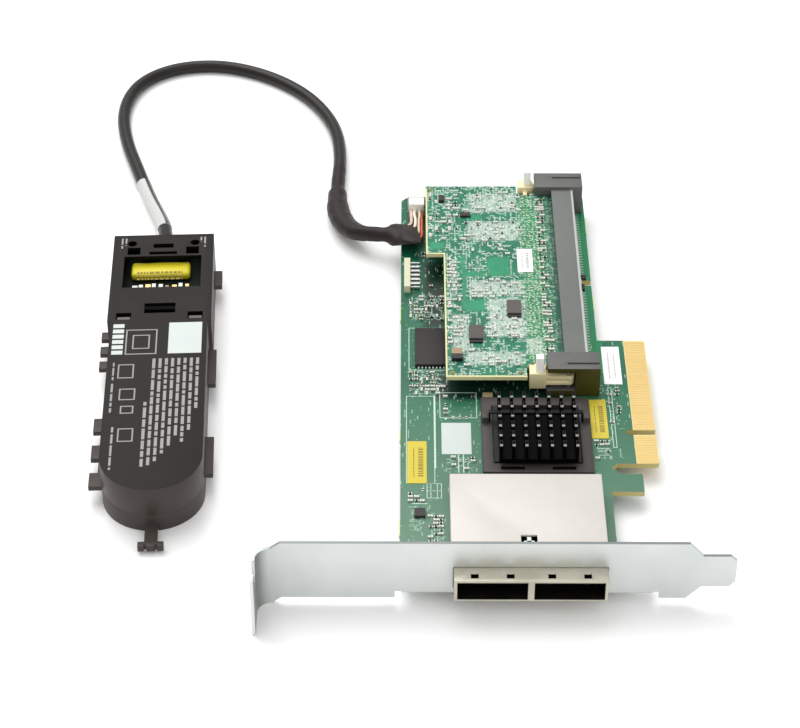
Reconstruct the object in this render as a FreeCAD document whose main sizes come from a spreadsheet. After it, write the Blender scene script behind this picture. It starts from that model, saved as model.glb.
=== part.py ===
import FreeCAD, Part
import math
import os
import re
import Sketcher
from FreeCAD import Placement, Rotation, Vector

doc = FreeCAD.newDocument("raid_controller_card")

# Frame while modelling: +X towards the edge contacts, +Y from the bracket to the card's far end,
# +Z away from the board's component side. The bracket's outer face is Y = 0, the board's plain
# long edge is X = 0 and the surface that everything lies on is Z = 0.

# ------------------------------------------------------------------ driving sizes, millimetres
sizes = {
    # board
    "board_bottom": 4.17, "board_thickness": 1.57, "board_front": 1.0, "board_back": 168.6,
    "board_width": 55.3, "board_corner": 2.0,
    "edge_notch_front": 124.2, "edge_notch_width": 2.4, "edge_notch_depth": 3.0,
    "ear_front": 35.3, "ear_back": 42.3, "ear_depth": 8.6, "relief_step": 0.5, "relief_width": 3.4,
    "tongue_front": 46.4, "tongue_short": 11.65, "key_width": 1.9, "tongue_long": 38.65,
    "tongue_depth": 13.4, "key_depth": 7.9, "tongue_bevel": 0.5,
    "contact_pitch": 1.0, "contact_width": 0.7, "contact_length": 5.4, "contact_inset": 0.35,
    "contact_edge": 0.65, "contact_skin": 0.05,
    # bracket
    "sheet_thickness": 0.86, "bracket_left": -36.5, "bracket_right": 83.5, "bracket_low": 2.0,
    "bracket_height": 18.42, "tab_drop": 2.0, "tab_depth": 11.43, "tab_bend": 3.4,
    "notch_y": 6.35, "screw_notch_width": 4.4, "screw_notch_depth": 4.9, "shoulder_slope": 2.6,
    "taper_start": 71.5, "taper_end": 75.1, "blade_low": 6.1, "blade_high": 16.3, "blade_corner": 1.6,
    "flange_left": 0.3, "flange_over": 7.9, "flange_depth": 6.5, "flange_notch": 1.6,
    "lug_depth": 13.5, "lug_width": 8.0, "lug_left_x": 6.2, "lug_inset": 1.7, "screw_y": 9.6,
    "screw_radius": 1.2, "screw_hole_gap": 0.1, "screw_head_radius": 2.3, "screw_head_height": 1.5,
    "screw_rise": 0.8,
    # external ports
    "cage_left": 12.8, "cage_inset": 3.1, "cage_height": 6.66, "cage_back": 34.8, "cage_wall": 0.6,
    "nose_inset": 0.55, "nose_reach": 4.9, "nose_drop": 0.15, "nose_gap": 0.15, "mouth_side": 0.85,
    "mouth_web": 1.65, "mouth_rim": 0.45, "mouth_top": 0.65,
    "latch_hole": 1.9, "latch_hole_y": 2.8, "latch_hole_inset": 4.3,
    "window_front": 6.4, "window_depth": 5.4, "window_width": 4.1,
    "insulator_front": 13.0, "insulator_gap": 0.1, "paddle_slot": 1.4, "paddle_depth": 8.0,
    "paddle_margin": 0.4,
    "pin_pitch": 0.8, "pin_count": 13, "pin_thickness": 0.25,
    "tail_pin": 0.9, "tail_drop": 1.1, "tail_side": 1.5, "tail_back": 3.0,
    # controller chip and its cooler
    "chip_inset": 18.85, "chip_y": 56.25, "chip_side": 23.0, "chip_thickness": 2.6, "ball_height": 0.5,
    "ball_rows": 8,
    "pad_side": 18.0, "pad_thickness": 0.25, "frame_width": 29.3, "frame_length": 30.5,
    "frame_top": 7.5, "frame_gap": 0.25, "frame_slot_width": 6.2, "frame_slot_depth": 1.3,
    "frame_slot_rim": 1.1, "frame_slot_aside": 6.75, "frame_slot_sink": 1.0,
    "sink_offset": 2.3, "sink_base": 1.2, "sink_top": 15.0,
    "fin_pitch": 3.333, "fin_thickness": 0.8, "fin_count": 7, "row_pitch": 3.96, "row_length": 2.2,
    "row_count": 6, "spring_thickness": 0.4, "spring_width": 1.3, "lug_height": 2.0,
    # module socket, its latches and the module
    "socket_front": 74.1, "tower_inset": 0.9, "tower_width": 14.4, "tower_length": 7.4,
    "tower_top": 15.4, "bar_inset": 3.0, "bar_width": 6.4, "bar_top": 14.4, "recess_lap": 2.8,
    "recess_depth": 4.3, "recess_low": 7.7, "recess_high": 14.0, "tower_groove": 0.8,
    "tower_groove_in": 2.0, "groove_start": 0.5, "slot_gap": 0.1, "slot_end_gap": 0.3,
    "tail_pitch": 1.2, "tail_width": 0.7, "tail_length": 1.2, "tail_thickness": 0.4,
    "hinge_lap": 1.0, "hinge_in": 2.1, "hinge_radius": 0.7, "hinge_play": 0.05, "hinge_set": 0.9,
    "latch_length": 4.5, "latch_gap": 0.3, "latch_in": 0.4, "latch_width": 4.1, "latch_low": 8.1,
    "latch_high": 13.2, "arm_low": 9.2, "arm_high": 12.1, "arm_width": 3.0, "arm_groove": 0.5,
    "arm_set": 1.0, "knob_inset": 0.7, "knob_length": 2.1, "knob_in": 0.9, "knob_width": 2.1,
    "knob_top": 17.9, "nib_reach": 2.0, "nib_width": 1.3, "nib_inset": 2.1, "nib_root": 1.0,
    "module_bottom": 10.9, "module_thickness": 1.2, "module_left": 12.4, "step_gap": 0.6,
    "module_lap": 3.6, "front_step": 0.6, "back_step": 2.3, "module_key": 82.0, "key_gap": 1.3,
    "tooling_inset": 1.7,
    "wing_left": 7.3, "wing_front": 131.0, "module_notch": 1.5, "module_hole": 0.8,
    "memory_width": 11.0, "memory_length": 12.6, "memory_height": 1.2, "memory_pitch": 16.5,
    "memory_count": 5, "memory_x": 26.0,
    # small parts on the two boards
    "flash_width": 12.0, "flash_length": 16.4, "flash_height": 1.1, "flash_x": 4.0, "flash_y": 86.4,
    "flash_lead": 0.8, "flash_lead_pitch": 1.0, "flash_lead_width": 0.4,
    "header_left": 0.9, "header_right": 2.7, "header_front": 120.6, "header_back": 134.4,
    "header_height": 2.4, "header_pitch": 2.0, "header_pin": 0.5, "header_pin_reach": 2.8,
    "header_row": 1.2,
    "label_thickness": 0.12,
    # battery pack
    "pack_x": -69.35, "pack_y": 137.0, "pack_turn": 2.55, "pack_length": 111.0, "pack_width": 27.0,
    "pack_wide": 29.0, "pack_wide_length": 40.5, "pack_height": 14.4, "pack_wall": 1.2,
    "pack_seam": 5.6, "window_x": 11.1, "window_low_y": 25.2, "window_high_y": 10.4,
    "mid_slot_x": 4.35, "mid_slot_low": 37.2, "mid_slot_high": 32.7,
    "clip_slot_in": 7.9, "clip_slot_out": 12.1, "clip_slot_low": 39.9, "clip_slot_high": 36.9,
    "port_in": 6.6, "port_out": 10.3, "port_low": 9.5, "port_high": 6.1,
    "eye_x": 9.1, "eye_y": 4.1, "eye_radius": 1.3, "key_slot_x": 2.9, "key_slot_low": 6.4,
    "key_slot_high": 4.4, "wide_slot_x": 4.0, "wide_slot_low": 9.6, "wide_slot_high": 8.2,
    "cell_stop": 40.8, "cell_width": 24.1, "cell_height": 11.5, "cell_gap": 0.4, "cell_bed": 1.3,
    "strap_thickness": 0.15, "strap_width": 5.0,
    "gauge_front": 29.0, "gauge_back": 3.2, "gauge_width": 24.0, "gauge_bottom": 8.2,
    "gauge_thickness": 1.0, "gauge_margin": 0.8, "post_side": 2.2, "post_inset": 2.5,
    "block_left": 9.2, "block_right": 7.8, "block_low": 15.6, "block_high": 9.6, "block_height": 2.6,
    "gauge_part_length": 3.6, "gauge_part_width": 3.4, "gauge_part_height": 1.5,
    "gauge_part_pitch": 5.0, "gauge_part_start": 2.2,
    "clip_reach": 2.2, "clip_low": 4.2, "rail_reach": 1.2, "rail_lump": 3.4,
    "hook_stem": 3.3, "hook_bar": 6.7, "hook_bar_depth": 1.8, "hook_reach": 8.6,
    "hook_low": 0.9, "hook_height": 1.8, "hook_notch": 0.7, "hook_notch_aside": 1.4,
    "gland_width": 7.0, "gland_height": 6.4, "gland_length": 3.4, "gland_flange": 1.0,
    "gland_bottom": 4.0,
    "clip_rear_low": 13.8, "clip_rear_high": 6.5, "clip_mid_low": 58.5, "clip_mid_high": 43.3,
    "clip_tip_low": 95.7, "clip_tip_high": 80.7, "rail_mid_low": 50.6, "rail_mid_high": 34.3,
    "rail_tip_low": 99.5, "rail_tip_high": 72.0,
    # stickers, each from left to right and front to back
    "yellow_a_left": 1.8, "yellow_a_right": 7.0, "yellow_a_front": 38.3, "yellow_a_back": 55.1,
    "yellow_b_gap": 0.3, "yellow_b_width": 4.6, "yellow_b_front": 56.4, "yellow_b_back": 72.6,
    "white_a_gap": 1.75, "white_a_width": 5.0, "white_a_front": 79.2, "white_a_back": 95.7,
    "white_b_lap": 0.9, "white_b_width": 4.5, "white_b_front": 122.2, "white_b_back": 133.4,
    # small surface parts
    "bit_width": 0.8, "bit_length": 1.5, "bit_height": 0.55, "bit_step": 2.2, "bit_row": 3.6,
    "regulator_width": 4.0, "regulator_length": 6.0, "regulator_height": 0.9,
    # cable, its sleeve, label and plug
    "cable_diameter": 4.0, "sleeve_wall": 0.8, "wrap_wall": 0.2,
    "plug_left": 2.3, "plug_right": 6.9, "plug_front": 157.4, "plug_back": 163.2,
    "shroud_back": 168.0, "plug_height": 4.6, "plug_wall": 0.3, "plug_grip": 2.2,
    "plug_lift": 0.7, "lead_radius": 0.42, "lead_count": 5, "lead_pitch": 0.9, "lead_gap": 0.25,
}

# Sizes that follow from the ones above.
worked = {
    "board_top": "board_bottom + board_thickness",
    "key_low": "tongue_front + tongue_short",
    "key_high": "key_low + key_width",
    "tongue_back": "key_high + tongue_long",
    "relief_front": "tongue_front - relief_width",
    "relief_inner": "board_width + relief_step",
    "ear_reach": "board_width + ear_depth",
    "tongue_reach": "board_width + tongue_depth",
    "contact_inner": "tongue_reach - contact_inset - contact_length",
    "flange_right": "board_width + flange_over",
    "lug_right_x": "board_width - lug_inset",
    "bend_end": "bracket_left + sheet_thickness + tab_bend",
    "bracket_high": "bracket_low + bracket_height",
    "tab_low": "bracket_low - tab_drop",
    "tab_high": "tab_low + bracket_height",
    "flange_low": "board_bottom - sheet_thickness",
    "cage_right": "board_width - cage_inset",
    "cage_top": "board_top + cage_height",
    "nose_left": "cage_left + nose_inset",
    "nose_right": "cage_right - nose_inset",
    "nose_low": "board_top - nose_drop",
    "mouth_left": "nose_left + mouth_side",
    "mouth_right": "nose_right - mouth_side",
    "mouth_low": "nose_low + mouth_rim",
    "mouth_high": "cage_top - mouth_top",
    "mouth_middle": "(mouth_left + mouth_right) / 2",
    "web_left": "mouth_middle - mouth_web / 2",
    "web_right": "mouth_middle + mouth_web / 2",
    "mouth_centre": "(mouth_low + mouth_high) / 2",
    "chip_x": "board_width - chip_inset",
    "chip_low": "board_top + ball_height",
    "chip_high": "chip_low + chip_thickness",
    "pad_high": "chip_high + pad_thickness",
    "sink_base_top": "pad_high + sink_base",
    "sink_width": "(fin_count - 1) * fin_pitch + fin_thickness",
    "sink_length": "(row_count - 1) * row_pitch + row_length",
    "sink_left": "chip_x - sink_width / 2",
    "sink_right": "chip_x + sink_width / 2",
    "sink_front": "chip_y - sink_offset - sink_length / 2",
    "sink_back": "chip_y - sink_offset + sink_length / 2",
    "frame_left": "chip_x - frame_width / 2",
    "frame_right": "chip_x + frame_width / 2",
    "frame_front": "chip_y - frame_length / 2",
    "frame_back": "chip_y + frame_length / 2",
    "spring_y": "sink_back - row_length - (row_pitch - row_length) / 2",
    "key_half": "module_key / 2",
    "latch_near": "key_half + key_gap",
    "latch_far": "latch_near + latch_width",
    "socket_half": "latch_far + latch_in",
    "socket_middle": "socket_front + socket_half",
    "socket_back": "socket_middle + socket_half",
    "tower_right": "board_width - tower_inset",
    "tower_left": "tower_right - tower_width",
    "bar_right": "tower_right - bar_inset",
    "bar_left": "bar_right - bar_width",
    "hinge_x": "bar_left + hinge_lap",
    "latch_right": "tower_left - latch_gap",
    "latch_left": "latch_right - latch_length",
    "knob_right": "latch_right - knob_inset",
    "knob_left": "knob_right - knob_length",
    "nib_x": "latch_left + nib_inset",
    "module_top": "module_bottom + module_thickness",
    "module_step": "latch_left - step_gap",
    "module_right": "bar_left + module_lap",
    "module_front": "socket_front + front_step",
    "module_back": "socket_back - back_step",
    "hinge_far": "socket_half - hinge_in",
    "pack_half": "pack_width / 2",
    "wide_half": "pack_wide / 2",
    "gauge_top": "gauge_bottom + gauge_thickness",
    "cell_length": "(pack_length - pack_wall - cell_stop) / 2 - cell_gap",
    "white_a_right": "contact_inner - white_a_gap",
    "white_a_left": "white_a_right - white_a_width",
    "white_b_left": "module_step - white_b_lap",
    "white_b_right": "white_b_left + white_b_width",
    "yellow_b_left": "frame_right + yellow_b_gap",
    "yellow_b_right": "yellow_b_left + yellow_b_width",
    "plug_low": "board_top + plug_lift",
    "plug_high": "plug_low + plug_height",
    "cable_middle": "cable_diameter / 2",
}

sheet = doc.addObject("Spreadsheet::Sheet", "sizes")
for row, (alias, value) in enumerate([*sizes.items(), *worked.items()], 1):
    sheet.set(f"A{row}", alias)
    sheet.set(f"B{row}", str(value) if alias in sizes else "=" + value)
    sheet.setAlias(f"B{row}", alias)
doc.recompute()

nodes = {}
pockets = []


# ------------------------------------------------------------------ helpers
def bound(text):
    """An expression for another object, with the sheet's name before each alias."""
    return re.sub(r"[a-z_]{2,}", lambda found: "sizes." + found.group(), str(text))


def size(text):
    return float(sheet.evalExpression(bound(text)))


def point(x, y, z):
    return Vector(size(x), size(y), size(z))


def keep(label, piece):
    piece.Label = label
    nodes[label] = piece
    return piece


def block(x, y, z):
    """A box from low to high along each axis."""
    solid = doc.addObject("Part::Box", "block")
    for side, axis, (low, high) in zip(("Length", "Width", "Height"), "xyz", (x, y, z)):
        solid.setExpression(side, bound(f"({high}) - ({low})"))
        solid.setExpression("Placement.Base." + axis, bound(low))
    return solid


def rod(x, y, z, radius, length):
    """An upright cylinder that stands on a point."""
    solid = doc.addObject("Part::Cylinder", "rod")
    solid.setExpression("Radius", bound(radius))
    solid.setExpression("Height", bound(length))
    for axis, place in zip("xyz", (x, y, z)):
        solid.setExpression("Placement.Base." + axis, bound(place))
    return solid


def joined(pieces):
    if len(pieces) == 1:
        return pieces[0]
    whole = doc.addObject("Part::MultiFuse", "joined")
    whole.Shapes = pieces
    whole.Refine = True
    return whole


def without(piece, tools):
    left = doc.addObject("Part::Cut", "left")
    left.Base = piece
    left.Tool = joined(tools)
    left.Refine = True
    return left


def group(label, pieces):
    """A node of one or more separate solids, with a place of its own."""
    whole = doc.addObject("Part::Compound", label)
    whole.Links = pieces
    return keep(label, whole)


def shaped(label, shapes):
    """A node of repeated small solids that are worked out here from the sheet."""
    whole = doc.addObject("Part::Feature", label)
    whole.Shape = Part.makeCompound(shapes)
    return keep(label, whole)


def brick(low, high):
    side = high - low
    return Part.makeBox(side.x, side.y, side.z, low)


planes = {"XY": ("XY_Plane", 1), "XZ": ("XZ_Plane", -1), "YZ": ("YZ_Plane", 1)}


def outline(body, name, plane, at, corners):
    """A closed sketch. A corner with a third value starts an arc of that radius,
    which bulges to the right of its run, or to the left where the radius is after a minus."""
    sketch = body.newObject("Sketcher::SketchObject", name)
    role, way = planes[plane]
    face = [part for part in body.Origin.OriginFeatures if part.Role == role][0]
    sketch.AttachmentSupport = [(face, "")]
    sketch.MapMode = "FlatFace"
    sketch.setExpression("AttachmentOffset.Base.z", bound(f"{way} * ({at})"))
    ends = [Vector(size(corner[0]), size(corner[1]), 0) for corner in corners]
    runs = []
    for number, corner in enumerate(corners):
        start, end = ends[number], ends[(number + 1) % len(corners)]
        if len(corner) == 2:
            sketch.addGeometry(Part.LineSegment(start, end), False)
            runs.append((1, 2))
            continue
        inward = str(corner[2]).startswith("-")
        radius = abs(size(corner[2]))
        half = (end - start) * 0.5
        across = Vector(-half.y, half.x, 0).normalize()
        rise = math.sqrt(max(radius ** 2 - half.Length ** 2, 0))
        centre = start + half + across * (-rise if inward else rise)
        first, last = (end, start) if inward else (start, end)
        angles = [math.atan2(spot.y - centre.y, spot.x - centre.x) for spot in (first, last)]
        circle = Part.Circle(centre, Vector(0, 0, 1), radius)
        sketch.addGeometry(Part.ArcOfCircle(circle, *angles), False)
        runs.append((2, 1) if inward else (1, 2))
    for number, corner in enumerate(corners):
        following = (number + 1) % len(corners)
        sketch.addConstraint(
            Sketcher.Constraint("Coincident", number, runs[number][1], following, runs[following][0])
        )
    for number, corner in enumerate(corners):
        start = runs[number][0]
        for kind, text, value in zip(("DistanceX", "DistanceY"), corner, ends[number]):
            made = sketch.addConstraint(Sketcher.Constraint(kind, -1, 1, number, start, value))
            sketch.setExpression(f"Constraints[{made}]", bound(text))
        if len(corner) == 3:
            text = str(corner[2]).lstrip("-")
            made = sketch.addConstraint(Sketcher.Constraint("Radius", number, size(text)))
            sketch.setExpression(f"Constraints[{made}]", bound(text))
    return sketch


def ring(body, name, at, spots, radius):
    """Circles on the body's XY plane."""
    sketch = outline(body, name, "XY", at, [])
    for number, (x, y) in enumerate(spots):
        centre = Vector(size(x), size(y), 0)
        sketch.addGeometry(Part.Circle(centre, Vector(0, 0, 1), size(radius)), False)
        for kind, text, value in zip(("DistanceX", "DistanceY"), (x, y), centre):
            made = sketch.addConstraint(Sketcher.Constraint(kind, -1, 1, number, 3, value))
            sketch.setExpression(f"Constraints[{made}]", bound(text))
        made = sketch.addConstraint(Sketcher.Constraint("Radius", number, size(radius)))
        sketch.setExpression(f"Constraints[{made}]", bound(radius))
    return sketch


def pad(body, name, plane, low, high, corners):
    """Material between two distances along the plane's own axis."""
    sketch = outline(body, name + "_sketch", plane, low, corners)
    made = body.newObject("PartDesign::Pad", name)
    made.Profile = sketch
    made.setExpression("Length", bound(f"({high}) - ({low})"))
    made.Reversed = plane == "XZ"
    return made


def pocket(body, name, plane, low, high, corners):
    """A cut between two distances along the plane's own axis."""
    sketch = outline(body, name + "_sketch", plane, low if plane == "XZ" else high, corners)
    return sunk(body, name, sketch, low, high)


def holes(body, name, low, high, spots, radius):
    return sunk(body, name, ring(body, name + "_sketch", high, spots, radius), low, high)


def sunk(body, name, sketch, low, high):
    made = body.newObject("PartDesign::Pocket", name)
    made.Profile = sketch
    made.setExpression("Length", bound(f"({high}) - ({low})"))
    pockets.append(made)
    return made


def oblong(x, y):
    """The four corners of a rectangle."""
    return [(x[0], y[0]), (x[1], y[0]), (x[1], y[1]), (x[0], y[1])]


def pattern(body, name, feature, axis, length, count):
    """Copies of a feature along one of the body's own axes."""
    made = body.newObject("PartDesign::LinearPattern", name)
    made.Originals = [feature]
    line = [part for part in body.Origin.OriginFeatures if part.Role == axis + "_Axis"][0]
    made.Direction = (line, [""])
    made.setExpression("Length", bound(length))
    made.setExpression("Occurrences", bound(count))
    body.Tip = made
    return made


def newBody(label):
    return keep(label, doc.addObject("PartDesign::Body", label))


def rounded(body, name, axis, spots, radius):
    """A fillet on the edges along one axis that pass through the given places across it."""
    doc.recompute()
    base = body.Tip
    across = [i for i in range(3) if i != "XYZ".index(axis)]
    names = []
    for number, edge in enumerate(base.Shape.Edges, 1):
        if edge.Curve.TypeId != "Part::GeomLine":
            continue
        a, b = (vertex.Point for vertex in edge.Vertexes)
        for spot in spots:
            wanted = [size(text) for text in spot]
            if all(abs(a[i] - w) < 1e-4 and abs(b[i] - w) < 1e-4 for i, w in zip(across, wanted)):
                names.append(f"Edge{number}")
    made = body.newObject("PartDesign::Fillet", name)
    made.Base = (base, names)
    made.setExpression("Radius", bound(radius))
    return made


# ------------------------------------------------------------------ main board and its contacts
screwSpots = [("lug_left_x", "screw_y"), ("lug_right_x", "screw_y")]


def makeBoard():
    body = newBody("main_board")
    pad(body, "board", "XY", "board_bottom", "board_top", [
        ("0", "board_front"), ("board_width", "board_front"), ("board_width", "ear_front"),
        ("ear_reach", "ear_front"), ("ear_reach", "ear_back"),
        ("relief_inner + relief_width / 2", "ear_back"),
        ("relief_inner + relief_width / 2", "relief_front"),
        ("relief_inner", "relief_front + relief_width / 2"),
        ("relief_inner + relief_width / 2", "tongue_front"),
        ("tongue_reach - tongue_bevel", "tongue_front"),
        ("tongue_reach", "tongue_front + tongue_bevel"), ("tongue_reach", "key_low"),
        ("tongue_reach - key_depth", "key_low"), ("tongue_reach - key_depth", "key_high"),
        ("tongue_reach", "key_high"), ("tongue_reach", "tongue_back - tongue_bevel"),
        ("tongue_reach - tongue_bevel", "tongue_back"), ("board_width", "tongue_back"),
        ("board_width", "edge_notch_front"),
        ("board_width - edge_notch_depth", "edge_notch_front"),
        ("board_width - edge_notch_depth", "edge_notch_front + edge_notch_width"),
        ("board_width", "edge_notch_front + edge_notch_width"),
        ("board_width", "board_back"), ("board_corner", "board_back"),
        ("0", "board_back - board_corner"),
    ])
    holes(body, "screw_holes", "board_bottom", "board_top", screwSpots, "screw_radius + screw_hole_gap")


def makeContacts():
    skin = size("contact_skin")
    half = size("contact_width / 2")
    inner = size("contact_inner")
    outer = size("tongue_reach - contact_inset")
    spots = []
    for start, length in (("tongue_front", "tongue_short"), ("key_high", "tongue_long")):
        first = size(start + " + contact_edge")
        count = int((size(length) - 2 * size("contact_edge")) / size("contact_pitch") + 1.01)
        spots += [first + k * size("contact_pitch") for k in range(count)]
    faces = (("contacts_top", size("board_top")), ("contacts_bottom", size("board_bottom") - skin))
    for label, low in faces:
        shaped(label, [
            brick(Vector(inner, y - half, low), Vector(outer, y + half, low + skin)) for y in spots
        ])


# ------------------------------------------------------------------ bracket
def makeBracket():
    body = newBody("bracket")
    pad(body, "face", "XZ", "0", "sheet_thickness", [
        ("bend_end", "tab_low"), ("bend_end + shoulder_slope", "bracket_low"),
        ("flange_left - flange_notch", "bracket_low"),
        ("flange_left - flange_notch", "board_bottom"), ("flange_left", "board_bottom"),
        ("flange_left", "flange_low"), ("flange_right", "flange_low"),
        ("flange_right", "board_bottom"), ("flange_right + flange_notch", "board_bottom"),
        ("flange_right + flange_notch", "bracket_low"), ("taper_start", "bracket_low"),
        ("taper_end", "blade_low"), ("bracket_right - blade_corner", "blade_low"),
        ("bracket_right", "blade_low + blade_corner"),
        ("bracket_right", "blade_high - blade_corner"),
        ("bracket_right - blade_corner", "blade_high"), ("taper_end", "blade_high"),
        ("taper_start", "bracket_high"), ("bend_end + shoulder_slope", "bracket_high"),
        ("bend_end", "tab_high"),
    ])
    tabInner = "bracket_left + sheet_thickness"
    pad(body, "tab", "XY", "tab_low", "tab_high", [
        ("bracket_left", "-tab_depth"), (tabInner, "-tab_depth"),
        (tabInner, "-tab_bend", "-tab_bend"), ("bend_end", "0"),
        ("bend_end", "sheet_thickness", "tab_bend + sheet_thickness"),
        ("bracket_left", "-tab_bend"),
    ])
    pad(body, "flange", "XY", "flange_low", "board_bottom", [
        ("flange_left", "0"), ("flange_right", "0"), ("flange_right", "flange_depth"),
        ("lug_right_x + lug_width / 2", "flange_depth"),
        ("lug_right_x + lug_width / 2", "lug_depth"),
        ("lug_right_x - lug_width / 2", "lug_depth"),
        ("lug_right_x - lug_width / 2", "flange_depth"),
        ("lug_left_x + lug_width / 2", "flange_depth"),
        ("lug_left_x + lug_width / 2", "lug_depth"),
        ("lug_left_x - lug_width / 2", "lug_depth"),
        ("lug_left_x - lug_width / 2", "flange_depth"), ("flange_left", "flange_depth"),
    ])
    pocket(body, "port_window", "XZ", "0", "sheet_thickness", oblong(
        ("nose_left - nose_gap", "nose_right + nose_gap"),
        ("nose_low - nose_gap", "cage_top + nose_gap"),
    ))
    left, right = "-notch_y - screw_notch_width / 2", "-notch_y + screw_notch_width / 2"
    turn = "tab_high - screw_notch_depth + screw_notch_width / 2"
    pocket(body, "screw_notch", "YZ", "bracket_left", tabInner, [
        (left, "tab_high + 1"), (left, turn, "screw_notch_width / 2"),
        ("-notch_y", "tab_high - screw_notch_depth", "screw_notch_width / 2"),
        (right, turn), (right, "tab_high + 1"),
    ])
    holes(body, "screw_holes", "flange_low", "board_bottom", screwSpots, "screw_radius + screw_hole_gap")
    rounded(body, "flange_bend", "X", [("0", "flange_low")], "sheet_thickness * 0.9")


def makeBracketScrews():
    screws = []
    for x, y in screwSpots:
        head = rod(x, y, "flange_low - screw_head_height", "screw_head_radius", "screw_head_height")
        shank = rod(x, y, "flange_low", "screw_radius", "board_top + screw_rise - flange_low")
        drive = rod(x, y, "flange_low - screw_head_height", "screw_radius * 0.7", "screw_head_height / 2")
        screws.append(without(joined([head, shank]), [drive]))
    group("bracket_screws", screws)


# ------------------------------------------------------------------ external ports
mouths = [("mouth_left", "web_left"), ("web_right", "mouth_right")]


def makePorts():
    shell = block(("nose_left", "nose_right"), ("-nose_reach", "sheet_thickness"), ("nose_low", "cage_top"))
    tools = [
        block(mouth, ("-nose_reach", "sheet_thickness"), ("mouth_low", "mouth_high"))
        for mouth in mouths
    ]
    for low, high in mouths:
        for middle in (f"{low} + latch_hole_inset", f"{high} - latch_hole_inset"):
            tools.append(block(
                (f"{middle} - latch_hole / 2", f"{middle} + latch_hole / 2"),
                ("-latch_hole_y - latch_hole / 2", "-latch_hole_y + latch_hole / 2"),
                ("mouth_high", "cage_top"),
            ))
    group("port_nose", [without(shell, tools)])

    shell = block(("cage_left", "cage_right"), ("board_front", "cage_back"), ("board_top", "cage_top"))
    throat = block(("nose_left", "nose_right"), ("sheet_thickness", "board_front"),
                   ("board_top", "cage_top"))
    tools = [
        block(mouth, ("sheet_thickness", "cage_back - cage_wall"), ("mouth_low", "mouth_high"))
        for mouth in mouths
    ]
    tools.append(block(
        ("mouth_middle - window_width / 2", "mouth_middle + window_width / 2"),
        ("window_front", "window_front + window_depth"), ("mouth_high", "cage_top"),
    ))
    group("port_cage", [without(joined([shell, throat]), tools)])

    insulators = []
    contacts = []
    for low, high in mouths:
        inner = (f"{low} + insulator_gap", f"{high} - insulator_gap")
        middle = f"({low} + {high}) / 2"
        slotHalf = "(pin_count * pin_pitch) / 2 + paddle_margin"
        plug = block(inner, ("insulator_front", "cage_back - cage_wall"),
                     ("mouth_low + insulator_gap", "mouth_high - insulator_gap"))
        slot = block((f"{middle} - ({slotHalf})", f"{middle} + ({slotHalf})"),
                     ("insulator_front", "insulator_front + paddle_depth"),
                     ("mouth_centre - paddle_slot / 2", "mouth_centre + paddle_slot / 2"))
        insulators.append(without(plug, [slot]))
        start = size(f"{middle} - (pin_count - 1) / 2 * pin_pitch")
        front, back = size("insulator_front + paddle_margin"), size("insulator_front + paddle_depth")
        for k in range(int(size("pin_count"))):
            x = start + k * size("pin_pitch")
            half = size("pin_pitch / 4")
            for foot in ("mouth_centre - paddle_slot / 2", "mouth_centre + paddle_slot / 2 - pin_thickness"):
                z = size(foot)
                contacts.append(brick(Vector(x - half, front, z),
                                      Vector(x + half, back, z + size("pin_thickness"))))
    group("port_insulators", insulators)
    shaped("port_contacts", contacts)


# ------------------------------------------------------------------ controller chip and cooler
def makeController():
    half, lid = "chip_side / 2", "pad_side / 2"
    chip = block((f"chip_x - {half}", f"chip_x + {half}"), (f"chip_y - {half}", f"chip_y + {half}"),
                 ("chip_low", "chip_low + chip_thickness * 0.6"))
    cover = block((f"chip_x - {lid}", f"chip_x + {lid}"), (f"chip_y - {lid}", f"chip_y + {lid}"),
                  ("chip_low + chip_thickness * 0.6", "chip_high"))
    group("controller_chip", [joined([chip, cover])])
    group("thermal_pad", [block(
        (f"chip_x - {lid}", f"chip_x + {lid}"), (f"chip_y - {lid}", f"chip_y + {lid}"),
        ("chip_high", "pad_high"),
    )])
    rows = int(size("ball_rows"))
    step = size("chip_side / (ball_rows + 1)")
    side = step * 0.5
    balls = []
    for i in range(rows):
        for j in range(rows):
            if {i, j}.isdisjoint({0, rows - 1}):
                continue
            x = size("chip_x") + (i - (rows - 1) / 2) * step
            y = size("chip_y") + (j - (rows - 1) / 2) * step
            balls.append(brick(Vector(x - side / 2, y - side / 2, size("board_top")),
                               Vector(x + side / 2, y + side / 2, size("chip_low"))))
    shaped("solder_balls", balls)


def makeHeatSink():
    body = newBody("heat_sink")
    pad(body, "fins", "XY", "pad_high", "sink_top",
        oblong(("sink_left", "sink_right"), ("sink_front", "sink_back")))
    lengthwise = pocket(body, "fin_gap", "XY", "sink_base_top", "sink_top", oblong(
        ("sink_left + fin_thickness", "sink_left + fin_pitch"), ("sink_front - 1", "sink_back + 1"),
    ))
    pattern(body, "fin_gaps", lengthwise, "X", "(fin_count - 2) * fin_pitch", "fin_count - 1")
    across = pocket(body, "row_gap", "XY", "sink_base_top", "sink_top", oblong(
        ("sink_left - 1", "sink_right + 1"), ("sink_front + row_length", "sink_front + row_pitch"),
    ))
    pattern(body, "row_gaps", across, "Y", "(row_count - 2) * row_pitch", "row_count - 1")


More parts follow.
